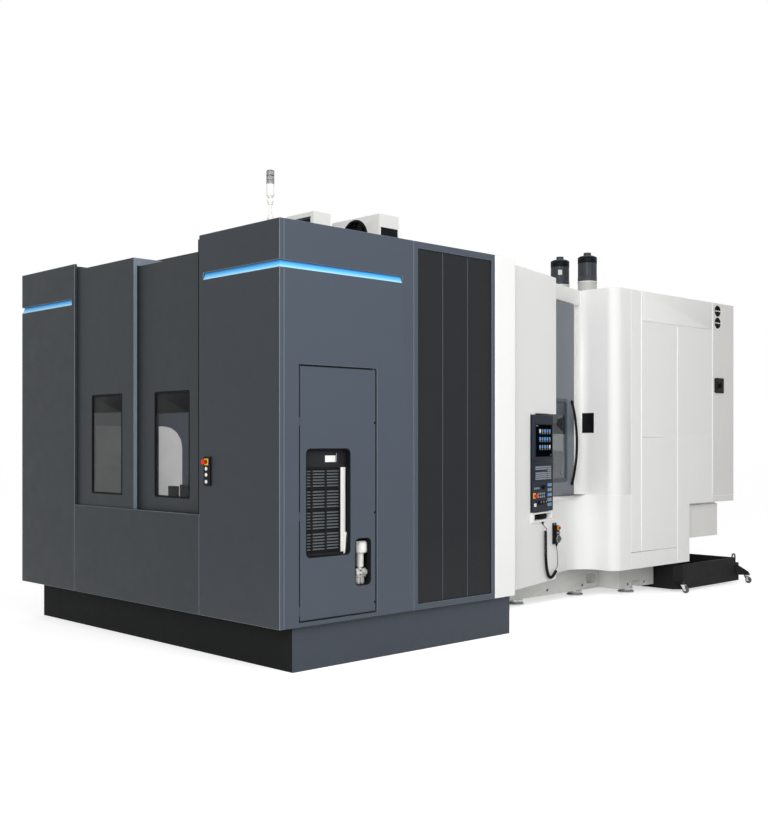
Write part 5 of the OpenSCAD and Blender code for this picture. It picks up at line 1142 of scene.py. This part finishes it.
vent_slats = [seat(plate(math.sqrt(vent_in**2 - z**2), 0.0026, 0.0008, 0.006), np.eye(3), (0, z, -0.009))
              for z in (-0.036, -0.024, -0.012, 0.012, 0.024, 0.036)]
vent = joined([vent_ring, vent_filter, *vent_slats])
piece("cabinet_vents", copies(vent, SIDE, vent_at), "machine_frame", "black_plastic")
vent_bar = seat(plate(VENT_R + 0.001, 0.005, 0.001, 0.012), np.eye(3), (0, 0, -0.008))
piece("vent_bars", copies(vent_bar, SIDE, vent_at), "machine_frame", "white_paint", "cabinet")
print("vents:", len(vent_at))

# %% [markdown]
# A plain black plate in a white border hangs on the front of the rear module. It stays bare.

# %% Bare plate on the rear module
REAR_Y = 4.660
PLATE_AT = (1.184, REAR_Y, 1.836)
piece("plate_border", seat(plate(0.081, 0.110, 0.003, 0.0012), FRONT, PLATE_AT),
      "machine_frame", "white_plastic")
piece("plate_dark", seat(plate(0.074, 0.103, 0.003, 0.0022), FRONT, PLATE_AT),
      "machine_frame", "black_plastic")
print("bare plate 0.15 by 0.21 m")

# %% [markdown]
# Two servo motors stand on the roof. Their bodies are ribbed already. Each gets a tall black cap, a
# dark flange on a white ring and a plug with its cable, which leaves on the far side, and one a small
# bare plate.

# %% Motor caps and plugs
MOTOR_Y, MOTOR_Z, MOTOR_R = 6.010, 3.564, 0.110
MOTOR_X = (-0.2, 0.2)
PLUG_RISE = 0.205
ring_in = MOTOR_R - 0.004


def outward(degrees):
    """Side whose outward direction is level and turned by an angle from the machine's right."""
    a = math.radians(degrees)
    return np.array([[-math.sin(a), math.cos(a), 0], [0, 0, 1], [math.cos(a), math.sin(a), 0]])


def on_motors(shape, side=TOP, reach=0.0, rise=0.0):
    """The same surface on both motors, moved outwards from the axis by a reach and up by a rise."""
    return copies(shape, side, [np.array([x, MOTOR_Y, MOTOR_Z + rise]) + reach * side[2] for x in MOTOR_X])


cap_ring = hoop([(ring_in, 0.0), (ring_in, 0.070), (MOTOR_R, 0.070), (MOTOR_R + 0.002, 0.067),
                 (MOTOR_R + 0.002, 0.002), (MOTOR_R + 0.001, 0.0)], 48)
flange = hoop([(ring_in, 0.0), (ring_in, 0.060), (MOTOR_R + 0.001, 0.060),
               (MOTOR_R + 0.002, 0.058), (MOTOR_R + 0.002, 0.0)], 48)
foot_ring = hoop([(ring_in, 0.0), (ring_in, 0.014), (MOTOR_R + 0.004, 0.014),
                  (MOTOR_R + 0.006, 0.012), (MOTOR_R + 0.006, 0.0)], 48)
piece("motor_caps", on_motors(cap_ring, rise=0.174), "column", "black_paint", "black")
piece("motor_flanges", on_motors(flange, rise=-0.040), "column", "black_paint", "motor")
piece("motor_feet", on_motors(foot_ring, rise=-0.054), "column", "white_paint", "white")
plug = turned([(0.020, 0.0), (0.020, 0.022), (0.024, 0.024), (0.024, 0.050), (0.019, 0.058),
               (0.012, 0.062)], 24)
far_side = outward(136)
piece("motor_plugs", on_motors(plug, far_side, ring_in, PLUG_RISE), "column", "black_plastic")
lead_knots = np.array([[0, 0, 0.165], [0, -0.004, 0.196], [0, -0.030, 0.220], [0, -0.090, 0.226],
                       [0, -0.200, 0.226], [0, -0.340, 0.226], [0, -0.405, 0.226]])
lead, _ = through(lead_knots, 0.012)
piece("motor_leads", on_motors(hose(lead, 0.011, hint=(1, 0, 0)), far_side, 0.0, PLUG_RISE),
      "column", "rubber")
tag_side = outward(-52)
piece("motor_tag", seat(plate(0.024, 0.030, 0.003, 0.004), tag_side,
                        np.array([MOTOR_X[0], MOTOR_Y, MOTOR_Z + 0.100]) + (MOTOR_R - 0.003) * tag_side[2]),
      "column", "white_plastic")
print("motors:", len(MOTOR_X))

# %% [markdown]
# The large roof cooler breathes through a wire guard in front of its fan, which turns in a dark well,
# and through a grille in its side; the small one has a louvred mouth. A guard is a set of thin hoops on
# crossing wires. Round wire is a small circle turned at a radius.

# %% Fan guard and roof grilles
FAN = (0.800, 1.750, 3.420)
FAN_WIRE = 0.0022
GUARD_HALF = 0.152
GRILLE_X, GRILLE_MID = 1.117, 1.865
MOUTH_X = 0.817
wire_round = np.linspace(0, 2 * np.pi, 7)[:-1]
wire_section = FAN_WIRE * np.column_stack([np.cos(wire_round), np.sin(wire_round)])
guard_rings = [hoop(wire_section + [r, 0.004], 40) for r in (0.034, 0.062, 0.090, 0.118, 0.150)]
reach = np.linspace(-GUARD_HALF, GUARD_HALF, 4)
spokes = [hose(np.column_stack([np.cos(a) * reach, np.sin(a) * reach, np.full(4, 0.0015)]), FAN_WIRE, 6)
          for a in np.arange(4) * np.pi / 4]
piece("fan_guard", seat(joined(guard_rings + spokes), FRONT, FAN), "machine_frame", "steel", "black")
fan_collar = hoop([(0.1525, -0.02), (0.1525, 0.002), (0.155, 0.004), (0.166, 0.004), (0.168, 0.002),
                   (0.168, 0.0), (0.153, -0.02)], 48)
piece("fan_collar", seat(fan_collar, FRONT, FAN), "machine_frame", "black_plastic")
well = [hoop([(0.0285, 0.0), (0.0285, 0.001), (0.1515, 0.001), (0.1515, 0.0)], 48),
        hoop([(0.1505, 0.0), (0.1505, 0.128), (0.1518, 0.128), (0.1518, 0.0)], 48)]
piece("fan_well", seat(joined(well), FRONT, (FAN[0], FAN[1] + 0.1295, FAN[2])),
      "machine_frame", "black_plastic")
blades = [seat(plate(0.095, 0.006, 0.002, 0.004), SIDE, (GRILLE_X, GRILLE_MID, 3.236 + 0.020 * i))
          for i in range(13)]
filter_sheet = seat(plate(0.101, 0.133, 0.004, 0.0015), SIDE, (GRILLE_X, GRILLE_MID, 3.354))
piece("cooler_side_grille", joined(blades + [filter_sheet]), "machine_frame", "black_plastic")
mouth = [seat(plate(0.136, 0.010, 0.002, 0.006), FRONT, (MOUTH_X, 1.130, 3.275 + 0.030 * i))
         for i in range(8)]
back_wall = seat(plate(0.1365, 0.1295, 0.002, 0.003), FRONT, (MOUTH_X, 1.2595, 3.380))
piece("cooler_mouth", joined(mouth + [back_wall]), "machine_frame", "black_plastic")
print("guard hoops:", len(guard_rings))

# %% [markdown]
# The signal light has a ribbed dark lens over a white body, on a thin pole with two round collars.

# %% Signal light
LIGHT_XY = (1.620, 0.170)
LIGHT_TOP = 3.620
LENS_RIBS = 15
rib = np.linspace(0, 1, 61)
groove = np.cos(rib * 2 * np.pi * LENS_RIBS) > 0.55
dome = np.clip((rib - 0.93) / 0.07, 0, 1) ** 2
lens_r = 0.0296 - 0.0012 * groove - 0.010 * dome
lens = turned(np.column_stack([lens_r, 0.103 * rib]), 32)
finish["lens"] = smoked("dark_lens", "30343a", 0.90)
piece("signal_lens", seat(lens, TOP, (*LIGHT_XY, LIGHT_TOP - 0.104)),
      "machine_frame", "pane", "lens", smooth=60)
ball = np.linspace(-1.25, 1.25, 13)
collar = turned(np.column_stack([0.024 * np.cos(ball), 0.024 * np.sin(ball)]), 28)
piece("signal_collars", copies(collar, TOP, [(*LIGHT_XY, z) for z in (3.270, 3.392)]),
      "machine_frame", "white_plastic")
print("lens ribs:", LENS_RIBS)

# %% [markdown]
# The cast bed stands on levelling pads. Each pad gets a hexagon nut, and the bed's clamping screws show
# as socket heads in their counterbores. A hexagon is a turned shape with six steps.

# %% Bed screws and levelling nuts
socket = turned([(0.0130, 0.0), (0.0130, 0.011), (0.0118, 0.0125), (0.0062, 0.0125), (0.0060, 0.006)], 20)
screw_at = [(0.921, y, 0.118) for y in (4.300, 4.900)] + [(1.171, y, 0.110) for y in (5.376, 5.693)]
# The black heads are partly real and partly painted shade of the deep counterbores they sit in.
piece("bed_screws", copies(socket, SIDE, screw_at), "machine_frame", "black_paint", "black")
pad = turned([(0.088, 0.0), (0.088, 0.010), (0.080, 0.018), (0.0705, 0.020)], 36)
nut = turned([(0.078, 0.030), (0.080, 0.032), (0.080, 0.052), (0.078, 0.054)], 6)
pad_at = [(s * 0.800, y) for s in (-1, 1) for y in (2.590, 3.950, 4.950)] \
    + [(s * 1.050, 5.540) for s in (-1, 1)] + [(s * 0.720, 6.320) for s in (-1, 1)] + [(0, 1.800)]
piece("levelling_pads", copies(joined([pad, nut]), TOP, [(*spot, 0) for spot in pad_at]),
      "machine_frame", "steel", smooth=25)
print("pads:", len(pad_at), "screws:", len(screw_at))

# %% [markdown]
# Behind, the control cabinet has four doors. Each gets a swing handle on a long plate and two hinges.

# %% Cabinet door handles and hinges
CABINET_END = 7.023
swing_grip = seat(plate(0.010, 0.058, 0.006, 0.010), np.eye(3), (0, 0.004, 0.003))
handle_plate = joined([plate(0.018, 0.075, 0.010, 0.004), swing_grip])
handle_x = [-0.830, -0.070, 0.690, 1.400]
piece("cabinet_handles", copies(handle_plate, BACK, [(x, CABINET_END, 2.050) for x in handle_x]),
      "machine_frame", "black_plastic")
barrel = turned([(0.008, 0.0), (0.009, 0.001), (0.009, 0.059), (0.008, 0.060)], 16)
hinge_x = [-1.640, -0.690, 0.070, 0.830]
piece("cabinet_hinges",
      copies(barrel, TOP, [(x, CABINET_END + 0.004, z) for x in hinge_x for z in (1.30, 2.85)]),
      "machine_frame", "steel")
print("cabinet doors:", len(handle_x))

# %% [markdown]
# Through the setup windows one sees the pallet that waits on the changer, with dark edge stops on it,
# against which work is set. A white splash liner with round corners covers the wall behind it, and two
# black valve boxes stand on a shelf in front of that.

# %% Edge stops, splash liner and valve boxes
PALLET_TOP = 1.090
SHELF_TOP = 1.060
VALVE_Y = 1.512
stops = [seat(plate(0.200, 0.012, 0.004, 0.16), TOP, (0.0, 1.36, PALLET_TOP)),
         seat(plate(0.012, 0.150, 0.004, 0.13), TOP, (0.36, 1.10, PALLET_TOP)),
         seat(plate(0.060, 0.060, 0.006, 0.21), TOP, (-0.26, 1.30, PALLET_TOP))]
piece("edge_stops", joined(stops), "pallet_changer", "black_paint", "black")
piece("splash_liner", seat(plate(0.700, 0.675, 0.220, 0.004), SIDE, (-1.897, 1.060, 1.125)),
      "machine_frame", "white_paint", "white")
shelf = [seat(plate(0.260, 0.090, 0.006, 0.010), TOP, (-1.638, 1.560, SHELF_TOP - 0.010)),
         seat(plate(0.084, 0.012, 0.004, 0.130), TOP, (-1.679, VALVE_Y, SHELF_TOP)),
         seat(plate(0.083, 0.012, 0.004, 0.150), TOP, (-1.468, VALVE_Y, SHELF_TOP))]
piece("valve_shelf", joined(shelf), "machine_frame", "black_paint", "black")
print("edge stops:", len(stops))
